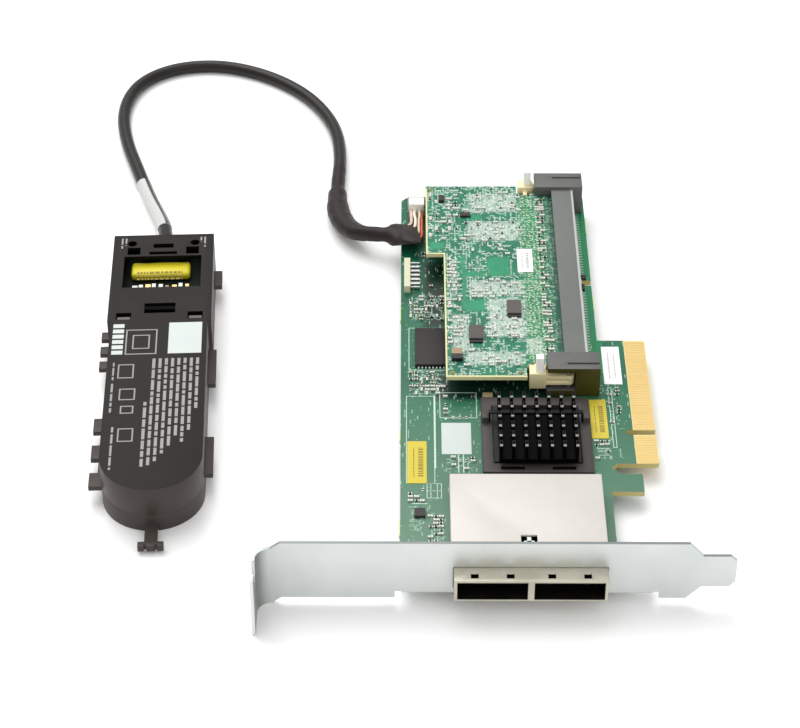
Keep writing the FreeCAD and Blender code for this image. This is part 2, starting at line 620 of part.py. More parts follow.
def makeSinkFrame():
    body = newBody("sink_frame")
    pad(body, "ring", "XY", "board_top", "frame_top",
        oblong(("frame_left", "frame_right"), ("frame_front", "frame_back")))
    half = "(chip_side / 2 + frame_gap)"
    pocket(body, "chip_opening", "XY", "board_top", "frame_top",
           oblong((f"chip_x - {half}", f"chip_x + {half}"), (f"chip_y - {half}", f"chip_y + {half}")))
    for name, side in (("slot_left", "-1"), ("slot_right", "1")):
        middle = f"chip_x + {side} * frame_slot_aside"
        pocket(body, name, "XY", "frame_top - frame_slot_sink", "frame_top", oblong(
            (f"{middle} - frame_slot_width / 2", f"{middle} + frame_slot_width / 2"),
            ("frame_front + frame_slot_rim", "frame_front + frame_slot_rim + frame_slot_depth"),
        ))
    for name, low, high in (("lug_left", "frame_left", "frame_left + lug_height"),
                            ("lug_right", "frame_right - lug_height", "frame_right")):
        pad(body, name, "XY", "board_top", "frame_top + lug_height",
            oblong((low, high), ("spring_y - spring_width", "spring_y + spring_width")))


def makeSinkSpring():
    body = newBody("sink_spring")
    left, right = "frame_left + lug_height", "frame_right - lug_height"
    low, high = "sink_base_top", "sink_base_top + spring_thickness"
    foot = "frame_top"
    pad(body, "leaf", "XZ", "spring_y - spring_width / 2", "spring_y + spring_width / 2", [
        (left, foot), (f"{left} + spring_thickness", foot), (f"{left} + spring_thickness", low),
        (f"{right} - spring_thickness", low), (f"{right} - spring_thickness", foot),
        (right, foot), (right, high), (left, high),
    ])


# ------------------------------------------------------------------ module socket and latches
def offMiddle(side, distance):
    """A place along the socket, counted from its middle towards one end."""
    return f"socket_middle + {side} * ({distance})"


def makeSocket():
    body = newBody("module_socket")
    pad(body, "bar", "XY", "board_top", "bar_top",
        oblong(("bar_left", "bar_right"), ("socket_front", "socket_back")))
    for end, side in (("front", -1), ("rear", 1)):
        far, near = offMiddle(side, "socket_half"), offMiddle(side, "socket_half - tower_length")
        pad(body, end + "_tower", "XY", "board_top", "tower_top",
            oblong(("tower_left", "tower_right"), (far, near)))
        pocket(body, end + "_recess", "XY", "recess_low", "recess_high", oblong(
            ("tower_left", "bar_left + recess_lap"),
            (far, offMiddle(side, "socket_half - recess_depth")),
        ))
        pocket(body, end + "_groove", "XY", "tower_top - tower_groove", "tower_top", oblong(
            ("bar_left + groove_start", "tower_right"),
            (offMiddle(side, "socket_half - tower_groove_in"),
             offMiddle(side, "socket_half - tower_groove_in - tower_groove")),
        ))
        holes(body, end + "_bore", "recess_low - hinge_set", "recess_high + hinge_set",
              [("hinge_x", offMiddle(side, "hinge_far"))], "hinge_radius")
    pocket(body, "card_slot", "XY", "module_bottom - slot_gap", "module_top + slot_gap", oblong(
        ("tower_left - 1", "module_right + slot_end_gap"),
        (offMiddle(-1, "key_half + slot_gap"), offMiddle(1, "key_half + slot_gap")),
    ))


def makeSocketTails():
    pitch, half = size("tail_pitch"), size("tail_width / 2")
    reach = size("socket_half - tower_length - tail_pitch")
    count = int(reach / pitch)
    tails = []
    for k in range(-count, count + 1):
        y = size("socket_middle") + k * pitch
        tails.append(brick(Vector(size("bar_right"), y - half, size("board_top")),
                           Vector(size("bar_right + tail_length"), y + half,
                                  size("board_top + tail_thickness"))))
    shaped("socket_tails", tails)


def makeLatch(label, side):
    body = newBody(label)
    far, near = offMiddle(side, "latch_far"), offMiddle(side, "latch_near")
    pad(body, "block", "XY", "latch_low", "latch_high", oblong(("latch_left", "latch_right"), (far, near)))
    knobFar = offMiddle(side, "latch_far - knob_in")
    knobNear = offMiddle(side, "latch_far - knob_in - knob_width")
    pad(body, "knob", "XY", "latch_low", "knob_top",
        oblong(("knob_left", "knob_right"), (knobFar, knobNear)))
    armFar = offMiddle(side, "hinge_far + arm_width / 2")
    armNear = offMiddle(side, "hinge_far - arm_width / 2")
    pad(body, "arm", "XY", "arm_low", "arm_high",
        oblong(("latch_left + arm_set", "hinge_x"), (armFar, armNear)))
    hinge = [("hinge_x", offMiddle(side, "hinge_far"))]
    eye = body.newObject("PartDesign::Pad", "eye")
    eye.Profile = ring(body, "eye_sketch", "arm_low", hinge, "arm_width / 2")
    eye.setExpression("Length", bound("arm_high - arm_low"))
    pad(body, "nib", "XY", "module_bottom + slot_gap", "module_top - slot_gap", oblong(
        ("nib_x - nib_width / 2", "nib_x + nib_width / 2"),
        (offMiddle(side, "latch_near + nib_root"), offMiddle(side, "latch_near - nib_reach")),
    ))
    middle = "(arm_low + arm_high) / 2"
    pocket(body, "arm_channel", "XY", f"{middle} - arm_groove", f"{middle} + arm_groove", oblong(
        ("latch_right", "hinge_x"), (armFar, offMiddle(side, "hinge_far + arm_width / 2 - arm_groove")),
    ))
    holes(body, "bore", "arm_low", "arm_high", hinge, "hinge_radius + hinge_play")


def makeLatchPins():
    group("latch_pins", [
        rod("hinge_x", offMiddle(side, "hinge_far"), "recess_low - hinge_set", "hinge_radius",
            "recess_high - recess_low + 2 * hinge_set")
        for side in (-1, 1)
    ])


# ------------------------------------------------------------------ cache module
def makeModule():
    body = newBody("cache_module")
    front, rear = offMiddle(-1, "key_half"), offMiddle(1, "key_half")
    pad(body, "board", "XY", "module_bottom", "module_top", [
        ("module_left", "module_front"), ("module_step", "module_front"), ("module_step", front),
        ("nib_x - module_notch", front, "-module_notch"),
        ("nib_x", f"{front} + module_notch", "-module_notch"),
        ("nib_x + module_notch", front), ("module_right", front), ("module_right", rear),
        ("nib_x + module_notch", rear, "-module_notch"),
        ("nib_x", f"{rear} - module_notch", "-module_notch"),
        ("nib_x - module_notch", rear), ("module_step", rear), ("module_step", "module_back"),
        ("wing_left", "module_back"), ("wing_left", "wing_front"), ("module_left", "wing_front"),
    ])
    holes(body, "tooling_holes", "module_bottom", "module_top", [
        ("module_left + tooling_inset", "module_front + tooling_inset"),
        ("module_step - tooling_inset", "module_front + tooling_inset"),
        ("wing_left + tooling_inset", "module_back - tooling_inset"),
    ], "module_hole")


def makeMemory():
    chips = []
    for k in range(int(size("memory_count"))):
        y = f"socket_middle + ({k} - (memory_count - 1) / 2) * memory_pitch"
        chips.append(block(
            ("memory_x - memory_width / 2", "memory_x + memory_width / 2"),
            (f"{y} - memory_length / 2", f"{y} + memory_length / 2"),
            ("module_bottom - memory_height", "module_bottom"),
        ))
    group("memory_chips", chips)


def bits(label, low, fields):
    """Fields of small surface parts: the first corner, then how many across and along."""
    whole = point("bit_width", "bit_length", "bit_height")
    step, row = size("bit_step"), size("bit_row")
    made = []
    for x, y, columns, rows in fields:
        for i in range(columns):
            for j in range(rows):
                corner = Vector(size(x) + i * step, size(y) + j * row, size(low))
                made.append(brick(corner, corner + whole))
    shaped(label, made)


def makeSmallParts():
    bits("module_bits", "module_top", [
        ("module_left + bit_step", "module_front + 2 * bit_row", 1, 9),
        ("module_left + 3 * bit_step", "module_front + 7 * bit_row", 2, 3),
        ("module_left + 6 * bit_step", "module_front + bit_row", 4, 1),
        ("wing_left + bit_step", "wing_front + bit_row", 1, 6),
        ("module_left + 5 * bit_step", "wing_front + 5 * bit_row", 4, 2),
        ("module_step + 3 * bit_step", "module_front + 6 * bit_row", 1, 11),
    ])
    bits("board_bits", "board_top", [
        ("flash_x - bit_step", "header_front - 3 * bit_row", 4, 2),
        ("flash_x", "flash_y - 2 * bit_row", 4, 1),
        ("flash_x", "board_front + 4 * bit_row", 1, 4),
        ("frame_right + bit_step", "tongue_front + bit_row", 1, 2),
        ("flash_x - bit_step", "header_back + bit_row", 2, 2),
    ])
    spots = [
        ("module_left + 3 * bit_step", "module_front + 4 * bit_row + bit_length"),
        ("module_left + 8 * bit_step", "module_front + 8 * bit_row - bit_length"),
    ]
    group("module_regulators", [
        block((x, f"{x} + regulator_width"), (y, f"{y} + regulator_length"),
              ("module_top", "module_top + regulator_height"))
        for x, y in spots
    ])


def makeFlash():
    group("flash_chip", [block(("flash_x", "flash_x + flash_width"), ("flash_y", "flash_y + flash_length"),
                               ("board_top + 0.1", "board_top + 0.1 + flash_height"))])
    pitch, half = size("flash_lead_pitch"), size("flash_lead_width / 2")
    count = int(size("flash_width / flash_lead_pitch")) - 1
    first = size("flash_x + flash_width / 2") - (count - 1) / 2 * pitch
    reach = size("flash_lead")
    leads = []
    for edge in (size("flash_y") - reach, size("flash_y + flash_length")):
        for k in range(count):
            x = first + k * pitch
            low = Vector(x - half, edge, size("board_top"))
            leads.append(brick(low, low + Vector(2 * half, reach, size("flash_height / 2"))))
    shaped("flash_leads", leads)


def makeHeader():
    group("board_header", [block(("header_left", "header_right"), ("header_front", "header_back"),
                                 ("board_top", "board_top + header_height"))])
    pitch, side = size("header_pitch"), size("header_pin")
    count = int(size("header_back - header_front") / pitch)
    first = size("(header_front + header_back) / 2") - (count - 1) / 2 * pitch - side / 2
    pins = []
    for k in range(count):
        for level in ("(header_height - header_row) / 2", "(header_height + header_row) / 2"):
            low = Vector(size("header_right"), first + k * pitch,
                         size("board_top + " + level) - side / 2)
            pins.append(brick(low, low + Vector(size("header_pin_reach"), side, side)))
    shaped("header_pins", pins)


def sticker(name, low):
    return block((name + "_left", name + "_right"), (name + "_front", name + "_back"),
                 (low, low + " + label_thickness"))


def makeStickers():
    group("yellow_stickers", [sticker("yellow_a", "board_top"), sticker("yellow_b", "board_top")])
    group("white_stickers", [sticker("white_a", "board_top"), sticker("white_b", "module_top")])


# ------------------------------------------------------------------ battery pack, in its own frame:
# the cable end is y = 0, the rounded end is towards -y and the pack's base is z = 0
packNodes = []


def packGroup(label, pieces):
    packNodes.append(group(label, pieces))


def packForm(inset, low, high):
    """The pack's outline, drawn in by a distance: a long body with one round end and a wider tail."""
    half, wide = f"(pack_half - {inset})", f"(wide_half - {inset})"
    return joined([
        block((f"0 - {half}", half), ("pack_half - pack_length", f"0 - {inset}"), (low, high)),
        rod("0", "pack_half - pack_length", low, half, f"({high}) - ({low})"),
        block((f"0 - {wide}", wide), (f"{inset} - pack_wide_length", f"0 - {inset}"), (low, high)),
    ])


def glandOpening():
    return block(("0 - gland_width / 2", "gland_width / 2"), ("0 - pack_wall - 1", "1"),
                 ("gland_bottom", "gland_bottom + gland_height"))


def makePackTray():
    """The lower shell with its side clips, the two stepped rails and the hook at the round end."""
    seam = ("clip_low", "pack_seam")
    fittings = [
        block((f"{edge} - pack_wall / 2", f"{edge} + clip_reach"),
              (f"0 - {name}_low", f"0 - {name}_high"), seam)
        for edge, name in (("wide_half", "clip_rear"), ("pack_half", "clip_mid"), ("pack_half", "clip_tip"))
    ]
    for low, high in (("rail_mid_low", "rail_mid_high"), ("rail_tip_low", "rail_tip_high")):
        fittings.append(block(("0 - pack_half - rail_reach", "pack_wall / 2 - pack_half"),
                              (f"0 - {low}", f"0 - {high}"), seam))
        part = f"({low} - {high}) / 5"
        for place in (0, 2, 4):
            start = f"{place} * {part} - {low}"
            fittings.append(block(("0 - pack_half - rail_lump", "pack_wall / 2 - pack_half"),
                                  (start, f"{start} + {part}"), seam))
    height = ("hook_low", "hook_low + hook_height")
    end = "0 - pack_length - hook_reach"
    fittings.append(block(("0 - hook_stem / 2", "hook_stem / 2"),
                          (f"{end} + hook_bar_depth / 2", "pack_wall / 2 - pack_length"), height))
    notches = [
        block((f"{side} * hook_notch_aside - hook_notch / 2",
               f"{side} * hook_notch_aside + hook_notch / 2"),
              (end, f"{end} + hook_notch"), height)
        for side in (1, -1)
    ]
    bar = block(("0 - hook_bar / 2", "hook_bar / 2"), (end, f"{end} + hook_bar_depth"), height)
    fittings.append(without(bar, notches))
    shell = joined([packForm("0", "0", "pack_seam"), *fittings])
    packGroup("battery_tray", [without(shell, [
        packForm("pack_wall", "pack_wall", "pack_seam + 1"), glandOpening(),
    ])])


def makePackCover():
    top = ("pack_height - pack_wall - 0.5", "pack_height + 0.5")
    tools = [packForm("pack_wall", "pack_seam - 1", "pack_height - pack_wall"), glandOpening()]
    for half, low, high in (
        ("window_x", "window_low_y", "window_high_y"), ("mid_slot_x", "mid_slot_low", "mid_slot_high"),
        ("key_slot_x", "key_slot_low", "key_slot_high"), ("wide_slot_x", "wide_slot_low", "wide_slot_high"),
    ):
        tools.append(block(("0 - " + half, half), ("0 - " + low, "0 - " + high), top))
    for side in (1, -1):
        slot = [f"{side} * clip_slot_in", f"{side} * clip_slot_out"]
        port = [f"{side} * port_in", f"{side} * port_out"]
        tools.append(block(slot[::side], ("0 - clip_slot_low", "0 - clip_slot_high"), top))
        tools.append(block(port[::side], ("0 - port_low", "0 - port_high"), top))
        tools.append(rod(f"{side} * eye_x", "0 - eye_y", top[0], "eye_radius", "pack_wall + 1"))
    packGroup("battery_cover", [without(packForm("0", "pack_seam", "pack_height"), tools)])


def makeCells():
    radius, height = "cell_width / 2", ("cell_bed", "cell_bed + cell_height")
    cells = []
    for place in (0, 1):
        start = f"pack_wall + cell_gap - pack_length + {place} * (cell_length + cell_gap)"
        ends = (f"{start} + {radius}", f"{start} + cell_length - {radius}")
        rounds = [rod("0", end, "cell_bed", radius, "cell_height") for end in ends]
        cells.append(joined([block((f"0 - {radius}", radius), ends, height), *rounds]))
    packGroup("battery_cells", cells)
    seam = "pack_wall + cell_gap * 3 / 2 - pack_length + cell_length"
    top = "cell_bed + cell_height"
    packGroup("cell_strap", [block(
        ("0 - strap_width / 2", "strap_width / 2"),
        (f"{seam} - strap_width", f"{seam} + strap_width"), (top, f"{top} + strap_thickness"),
    )])


def makeGauge():
    half = "gauge_width / 2"
    packGroup("gauge_board", [block((f"0 - {half}", half), ("0 - gauge_front", "0 - gauge_back"),
                                    ("gauge_bottom", "gauge_top"))])
    aside = "(gauge_width / 2 - post_inset)"
    places = ("post_inset - gauge_front", "0 - gauge_back - post_inset")
    packGroup("gauge_posts", [
        block((f"{side} * {aside} - post_side / 2", f"{side} * {aside} + post_side / 2"),
              (f"{place} - post_side / 2", f"{place} + post_side / 2"), ("pack_wall", "gauge_bottom"))
        for side in (1, -1) for place in places
    ])
    packGroup("gauge_block", [block(("0 - block_left", "block_right"), ("0 - block_low", "0 - block_high"),
                                    ("gauge_top", "gauge_top + block_height"))])
    front = "gauge_margin - window_low_y"
    parts = []
    for k in range(4):
        start = f"gauge_part_start + {k} * gauge_part_pitch - window_x"
        parts.append(block((start, f"{start} + gauge_part_width"), (front, f"{front} + gauge_part_length"),
                           ("gauge_top", "gauge_top + gauge_part_height")))
    packGroup("gauge_parts", parts)


def makeGland():
    neck = block(("0 - gland_width / 2", "gland_width / 2"), ("0 - pack_wall", "gland_length"),
                 ("gland_bottom", "gland_bottom + gland_height"))
    flange = block(("0 - gland_width / 2 - gland_flange", "gland_width / 2 + gland_flange"),
                   ("0 - pack_wall - gland_flange", "0 - pack_wall"),
                   ("gland_bottom - gland_flange", "gland_bottom + gland_height + gland_flange"))
    packGroup("strain_relief", [joined([neck, flange])])


# ------------------------------------------------------------------ cable between pack and card
cableSides, leadSides = 8, 6


def makeRoute():
    """The cable's points: out of the pack, round on the surface, then up over the board's edge."""
    low = size("cable_middle")
    wrapped, sleeved = size("cable_middle + wrap_wall"), size("cable_middle + sleeve_wall")
    turn = math.radians(size("pack_turn"))
    out = size("gland_length - 1")
    gland = Vector(size("pack_x") - out * math.sin(turn), size("pack_y") + out * math.cos(turn),
                   size("gland_bottom + gland_height / 2"))
    rise = size("plug_low + plug_height / 2")
    return [
        gland, Vector(-70.2, 149.6, 6.6), Vector(-73.0, 160.0, 3.9), Vector(-77.4, 172.4, wrapped),
        Vector(-82.4, 188.0, wrapped), Vector(-87.8, 205.0, low), Vector(-90.5, 222.4, low),
        Vector(-87.2, 238.0, low), Vector(-76.4, 248.0, low), Vector(-60.4, 250.4, low),
        Vector(-43.6, 243.6, low), Vector(-29.6, 230.6, low), Vector(-21.2, 213.6, low),
        Vector(-19.0, 195.4, sleeved), Vector(-19.8, 177.6, sleeved), Vector(-19.4, 162.6, 3.3),
        Vector(-14.9, 151.4, 5.1), Vector(-7.2, 145.7, rise - 0.5), Vector(1.3, 145.0, rise),
    ]


def bent(points):
    """Straight runs joined by tangent arcs, each as large as its two runs allow."""
    edges = []
    here = points[0]
    for before, corner, after in zip(points, points[1:], points[2:]):
        back, ahead = (before - corner), (after - corner)
        turn = math.pi - back.getAngle(ahead)
        reach = 0.45 * min(back.Length, ahead.Length)
        back.normalize()
        ahead.normalize()
        radius = reach / math.tan(turn / 2)
        print(f"cable turn {math.degrees(turn):.0f} degrees, radius {radius:.1f} mm")
        inward = (back + ahead).normalize()
        middle = corner + inward * (math.hypot(reach, radius) - radius)
        start, end = corner + back * reach, corner + ahead * reach
        edges.append(Part.LineSegment(here, start).toShape())
        edges.append(Part.Arc(start, middle, end).toShape())
        here = end
    edges.append(Part.LineSegment(here, points[-1]).toShape())
    return edges


def tube(edges, sides, outer, inner=0):
    """A tube along a path, with flat sides so that it stays light. The bore clears its own radius."""
    start = edges[0].valueAt(edges[0].FirstParameter)
    along = edges[0].tangentAt(edges[0].FirstParameter)
    across = along.cross(Vector(0, 0, 1)).normalize()
    upward = across.cross(along)
    path = Part.Wire(edges)
    swept = []
    for radius in (outer, inner / math.cos(math.pi / sides)):
        if radius:
            turns = [2 * math.pi * k / sides for k in range(sides)]
            rim = [start + across * radius * math.cos(a) + upward * radius * math.sin(a) for a in turns]
            swept.append(path.makePipe(Part.Face(Part.makePolygon([*rim, rim[0]]))))
    return swept[0].cut(swept[1]) if inner else swept[0]


def makeCable():
    radius = size("cable_middle")
    edges = bent(makeRoute())
    print(f"cable length {sum(edge.Length for edge in edges):.1f} mm")
    shaped("battery_cable", [tube(edges, cableSides, radius)])
    shaped("cable_sleeve", [tube(edges[26:], cableSides, radius + size("sleeve_wall"), radius)])
    shaped("cable_wrap", [tube(edges[2:7], cableSides, radius + size("wrap_wall"), radius)])


def makePlug():
    group("plug_header", [without(
        block(("plug_left - plug_wall", "plug_right + plug_wall"), ("plug_back - plug_grip", "shroud_back"),
              ("board_top", "plug_high + plug_wall")),
        [block(("plug_left", "plug_right"), ("plug_back - plug_grip", "plug_back"),
               ("plug_low", "plug_high"))],
    )])
    group("cable_plug", [block(("plug_left", "plug_right"), ("plug_front", "plug_back"),
                               ("plug_low", "plug_high"))])
    end = makeRoute()[-1] + Vector(size("lead_gap"), 0, 0)
    radius, pitch = size("lead_radius"), size("lead_pitch")
    count = int(size("lead_count"))
    leads = []
    for k in range(count):
        aside = (k - (count - 1) / 2) * pitch
        x = size("(plug_left + plug_right) / 2") + aside
        y = end.y - aside * 0.8
        bend = 0.45 * (x - end.x)
        corner = Vector(x, y, end.z)
        edges = [
            Part.LineSegment(Vector(x, size("plug_front"), end.z), Vector(x, y + bend, end.z)).toShape(),
            Part.Arc(Vector(x, y + bend, end.z),
                     corner + Vector(-1, 1, 0) * bend * (1 - math.sqrt(0.5)),
                     Vector(x - bend, y, end.z)).toShape(),
            Part.LineSegment(Vector(x - bend, y, end.z), Vector(end.x, y, end.z)).toShape(),
        ]
        leads.append(tube(edges, leadSides, radius))
    shaped("plug_leads", leads)


def makeSolderTails():
    """Cut ends of the pins that come through under the cage, the socket posts and the header."""
    under = "board_front + cage_back / 2"
    behind = "cage_back - tail_back"
    spots = [("cage_left + tail_side", under), ("cage_right - tail_side", under),
             ("cage_left + tail_side", behind), ("cage_right - tail_side", behind),
             ("mouth_middle", behind), ("tower_right - tail_side", "socket_front + tail_back"),
             ("tower_right - tail_side", "socket_back - tail_back")]
    spots += [
        ("(header_left + header_right) / 2", f"header_front + ({k} + 1) * header_pitch")
        for k in range(int(size("(header_back - header_front) / header_pitch")))
    ]
    group("solder_tails", [
        block((f"{x} - tail_pin / 2", f"{x} + tail_pin / 2"),
              (f"{y} - tail_pin / 2", f"{y} + tail_pin / 2"),
              ("board_bottom - tail_drop", "board_bottom"))
        for x, y in spots
    ])


cordNodes = ["battery_cable", "cable_sleeve", "cable_wrap", "cable_plug", "plug_leads"]


def placeAll():
    """The pack is turned into its place, then everything is moved so that the origin is
    under the middle of the card and pack."""
    doc.recompute()
    turned = Placement(point("pack_x", "pack_y", "0"), Rotation(Vector(0, 0, 1), size("pack_turn")))
    for node in packNodes:
        node.Placement = turned
    doc.recompute()
    box = FreeCAD.BoundBox()
    for label, node in nodes.items():
        if label not in cordNodes:
            box.add(node.Shape.optimalBoundingBox(False))
    shift = Placement(Vector(-box.Center.x, -box.Center.y, -box.ZMin), Rotation())
    for node in nodes.values():
        node.Placement = shift * node.Placement
    doc.recompute()
    print("moved by", [round(value, 4) for value in shift.Base])


def checkAll():
    for piece in doc.Objects:
        if "Invalid" in piece.State or "Error" in piece.State:
            raise RuntimeError(f"{piece.Name} did not build: {piece.State}")
    for cut in pockets:
        if cut.Shape.Volume > cut.BaseFeature.Shape.Volume - 1e-6:
            raise RuntimeError(f"{cut.Name} takes nothing away")
    for label, node in nodes.items():
        if node.Shape.isNull() or not node.Shape.isValid() or not node.Shape.Solids:
            raise RuntimeError(f"{label} is not a valid solid")


def exportAll():
    os.makedirs("parts", exist_ok=True)
    for label, node in nodes.items():
        node.Shape.exportStep(f"parts/{label}.step")
    print(len(nodes), "nodes")


makeBoard()
makeContacts()
makeBracket()
makeBracketScrews()
makePorts()
makeController()
makeHeatSink()
makeSinkFrame()
makeSinkSpring()
makeSocket()
makeSocketTails()
makeLatch("latch_front", -1)
makeLatch("latch_rear", 1)
makeLatchPins()
makeModule()
makeMemory()
makeSmallParts()
makeFlash()
makeHeader()
makeStickers()
makePackTray()
makePackCover()
makeCells()
makeGauge()
makeGland()
makeCable()
makePlug()
makeSolderTails()
placeAll()
checkAll()
exportAll()
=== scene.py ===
import math
import random

import bmesh
import bpy
from mathutils import Matrix, Vector


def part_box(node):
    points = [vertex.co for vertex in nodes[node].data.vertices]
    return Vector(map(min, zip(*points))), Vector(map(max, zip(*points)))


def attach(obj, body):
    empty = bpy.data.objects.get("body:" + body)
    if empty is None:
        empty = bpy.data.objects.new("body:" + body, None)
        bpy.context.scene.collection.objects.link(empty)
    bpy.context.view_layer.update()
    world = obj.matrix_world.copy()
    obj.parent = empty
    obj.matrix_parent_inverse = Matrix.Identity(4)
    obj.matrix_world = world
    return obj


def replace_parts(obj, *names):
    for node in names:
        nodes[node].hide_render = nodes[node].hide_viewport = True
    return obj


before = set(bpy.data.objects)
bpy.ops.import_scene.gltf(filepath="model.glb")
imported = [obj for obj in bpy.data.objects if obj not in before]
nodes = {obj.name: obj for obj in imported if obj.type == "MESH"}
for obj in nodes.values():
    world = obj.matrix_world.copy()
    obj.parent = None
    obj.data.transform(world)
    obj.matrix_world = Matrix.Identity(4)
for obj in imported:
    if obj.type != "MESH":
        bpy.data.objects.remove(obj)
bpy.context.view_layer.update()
mm = 0.001

# Places are millimetres on the card: x towards the edge contacts, y away from the bracket,
# z up from the surface that it lies on, counted from the board's own low corner.
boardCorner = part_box("main_board")[0]
boardPlace = {"front": 1.0, "bottom": 4.17}


def at(x, y, z):
    return boardCorner + Vector((x, y - boardPlace["front"], z - boardPlace["bottom"])) * mm


def place(spot):
    return (spot - boardCorner) / mm + Vector((0, boardPlace["front"], boardPlace["bottom"]))


packPlace = {"x": -69.35, "y": 137.0, "turn": 2.55}  # the pack's cable end, and its turn in degrees
packFrame = (Matrix.Translation(at(packPlace["x"], packPlace["y"], 0))
             @ Matrix.Rotation(math.radians(packPlace["turn"]), 4, "Z"))
levels = {"board": 5.74, "module": 12.1, "pack": 14.4, "gauge": 9.2}


# camera, floor and light
camera = {"x": 0.812, "y": -424.726, "z": 423.334, "down": 38.0836, "yaw": 0.115, "roll": 0.057,
          "lens": 106.72, "shift": -0.0559}
studio = {"floor": 6.0, "sky": 0.70, "lamps": [  # name, place, size, power; each aims at the middle
    ("key", (-0.35, 0.55, 1.1), 1.1, 13.0), ("fill", (0.5, -0.9, 1.2), 1.6, 4.5)]}


def makeCamera():
    data = bpy.data.cameras.new("camera")
    data.lens, data.shift_y, data.clip_start = camera["lens"], camera["shift"], 0.01
    view = bpy.data.objects.new("camera", data)
    yaw, down, roll = [Matrix.Rotation(math.radians(angle), 4, axis) for angle, axis in (
        (camera["yaw"], "Z"), (90 - camera["down"], "X"), (camera["roll"], "Z"))]
    view.matrix_world = Matrix.Translation(at(camera["x"], camera["y"], camera["z"])) @ yaw @ down @ roll
    bpy.context.scene.collection.objects.link(view)
    bpy.context.scene.camera = view
    print("camera set")


def makeLamp(name, spot, size, power):
    data = bpy.data.lights.new(name, "AREA")
    data.shape, data.size, data.energy = "SQUARE", size, power
    lamp = bpy.data.objects.new(name, data)
    lamp.location = spot
    lamp.rotation_euler = (-Vector(spot)).to_track_quat("-Z", "Y").to_euler()
    bpy.context.scene.collection.objects.link(lamp)


def makeStudio():
    bpy.context.scene.view_settings.view_transform = "Standard"
    world = bpy.data.worlds.new("sky")
    world.use_nodes = True
    world.node_tree.nodes["Background"].inputs["Color"].default_value = (1, 1, 1, 1)
    world.node_tree.nodes["Background"].inputs["Strength"].default_value = studio["sky"]
    bpy.context.scene.world = world
    for name, spot, size, power in studio["lamps"]:
        makeLamp(name, spot, size, power)
    mesh = bmesh.new()
    bmesh.ops.create_grid(mesh, x_segments=1, y_segments=1, size=studio["floor"] / 2)
    data = bpy.data.meshes.new("floor")
    mesh.to_mesh(data)
    mesh.free()
    floor = bpy.data.objects.new("floor", data)
    data.materials.append(makeFloorFinish())
    bpy.context.scene.collection.objects.link(floor)
    print("studio set")


# node helpers and the effects that several finishes share
def tint(code):
    parts = [int(code[i:i + 2], 16) / 255 for i in (1, 3, 5)]
    return (*[p / 12.92 if p < 0.04045 else ((p + 0.055) / 1.055) ** 2.4 for p in parts], 1)


def put(tree, kind, sockets=None, **settings):
    made = tree.nodes.new("ShaderNode" + kind)
    for name, value in settings.items():
        setattr(made, name, value)
    for name, value in (sockets or {}).items():
        fill(tree, made.inputs[name], value)
    return made


def fill(tree, socket, value):
    if isinstance(value, bpy.types.NodeSocket):
        tree.links.new(value, socket)
    else:
        socket.default_value = value


def maths(tree, operation, *values):
    made = tree.nodes.new("ShaderNodeMath")
    made.operation = operation
    for socket, value in zip(made.inputs, values):
        fill(tree, socket, value)
    return made.outputs[0]


def times(tree, first, second):
    return maths(tree, "MULTIPLY", first, second)


def most(tree, first, second):
    return maths(tree, "MAXIMUM", first, second)


def axes(tree, vector):
    return put(tree, "SeparateXYZ", {0: vector}).outputs


def mixed(tree, share, first, second):
    return put(tree, "Mix", {0: share, 6: first, 7: second}, data_type="RGBA").outputs[2]


def between(tree, value, low, high, bottom=0.0, top=1.0):
    return put(tree, "MapRange", {0: value, 1: low, 2: high, 3: bottom, 4: top}).outputs[0]


def noise(tree, spot, scale, detail=3.0, rough=0.55):
    sockets = {"Vector": spot, "Scale": scale, "Detail": detail, "Roughness": rough}
    return put(tree, "TexNoise", sockets).outputs[0]


def clouds(tree, spot, scale, detail, low, high, rough=0.55):
    return between(tree, noise(tree, spot, scale, detail, rough), low, high)


def newGroup(name, inputs, outputs):
    tree = bpy.data.node_groups.new(name, "ShaderNodeTree")
    for label, kind, value in inputs:
        socket = tree.interface.new_socket(label, in_out="INPUT", socket_type="NodeSocket" + kind)
        socket.default_value = value
    for label, kind in outputs:
        tree.interface.new_socket(label, in_out="OUTPUT", socket_type="NodeSocket" + kind)
    return tree, tree.nodes.new("NodeGroupInput").outputs, tree.nodes.new("NodeGroupOutput").inputs


def grouped(tree, name, **values):
    made = put(tree, "Group", node_tree=bpy.data.node_groups[name])
    for label, value in values.items():
        fill(tree, made.inputs[label], value)
    return made.outputs


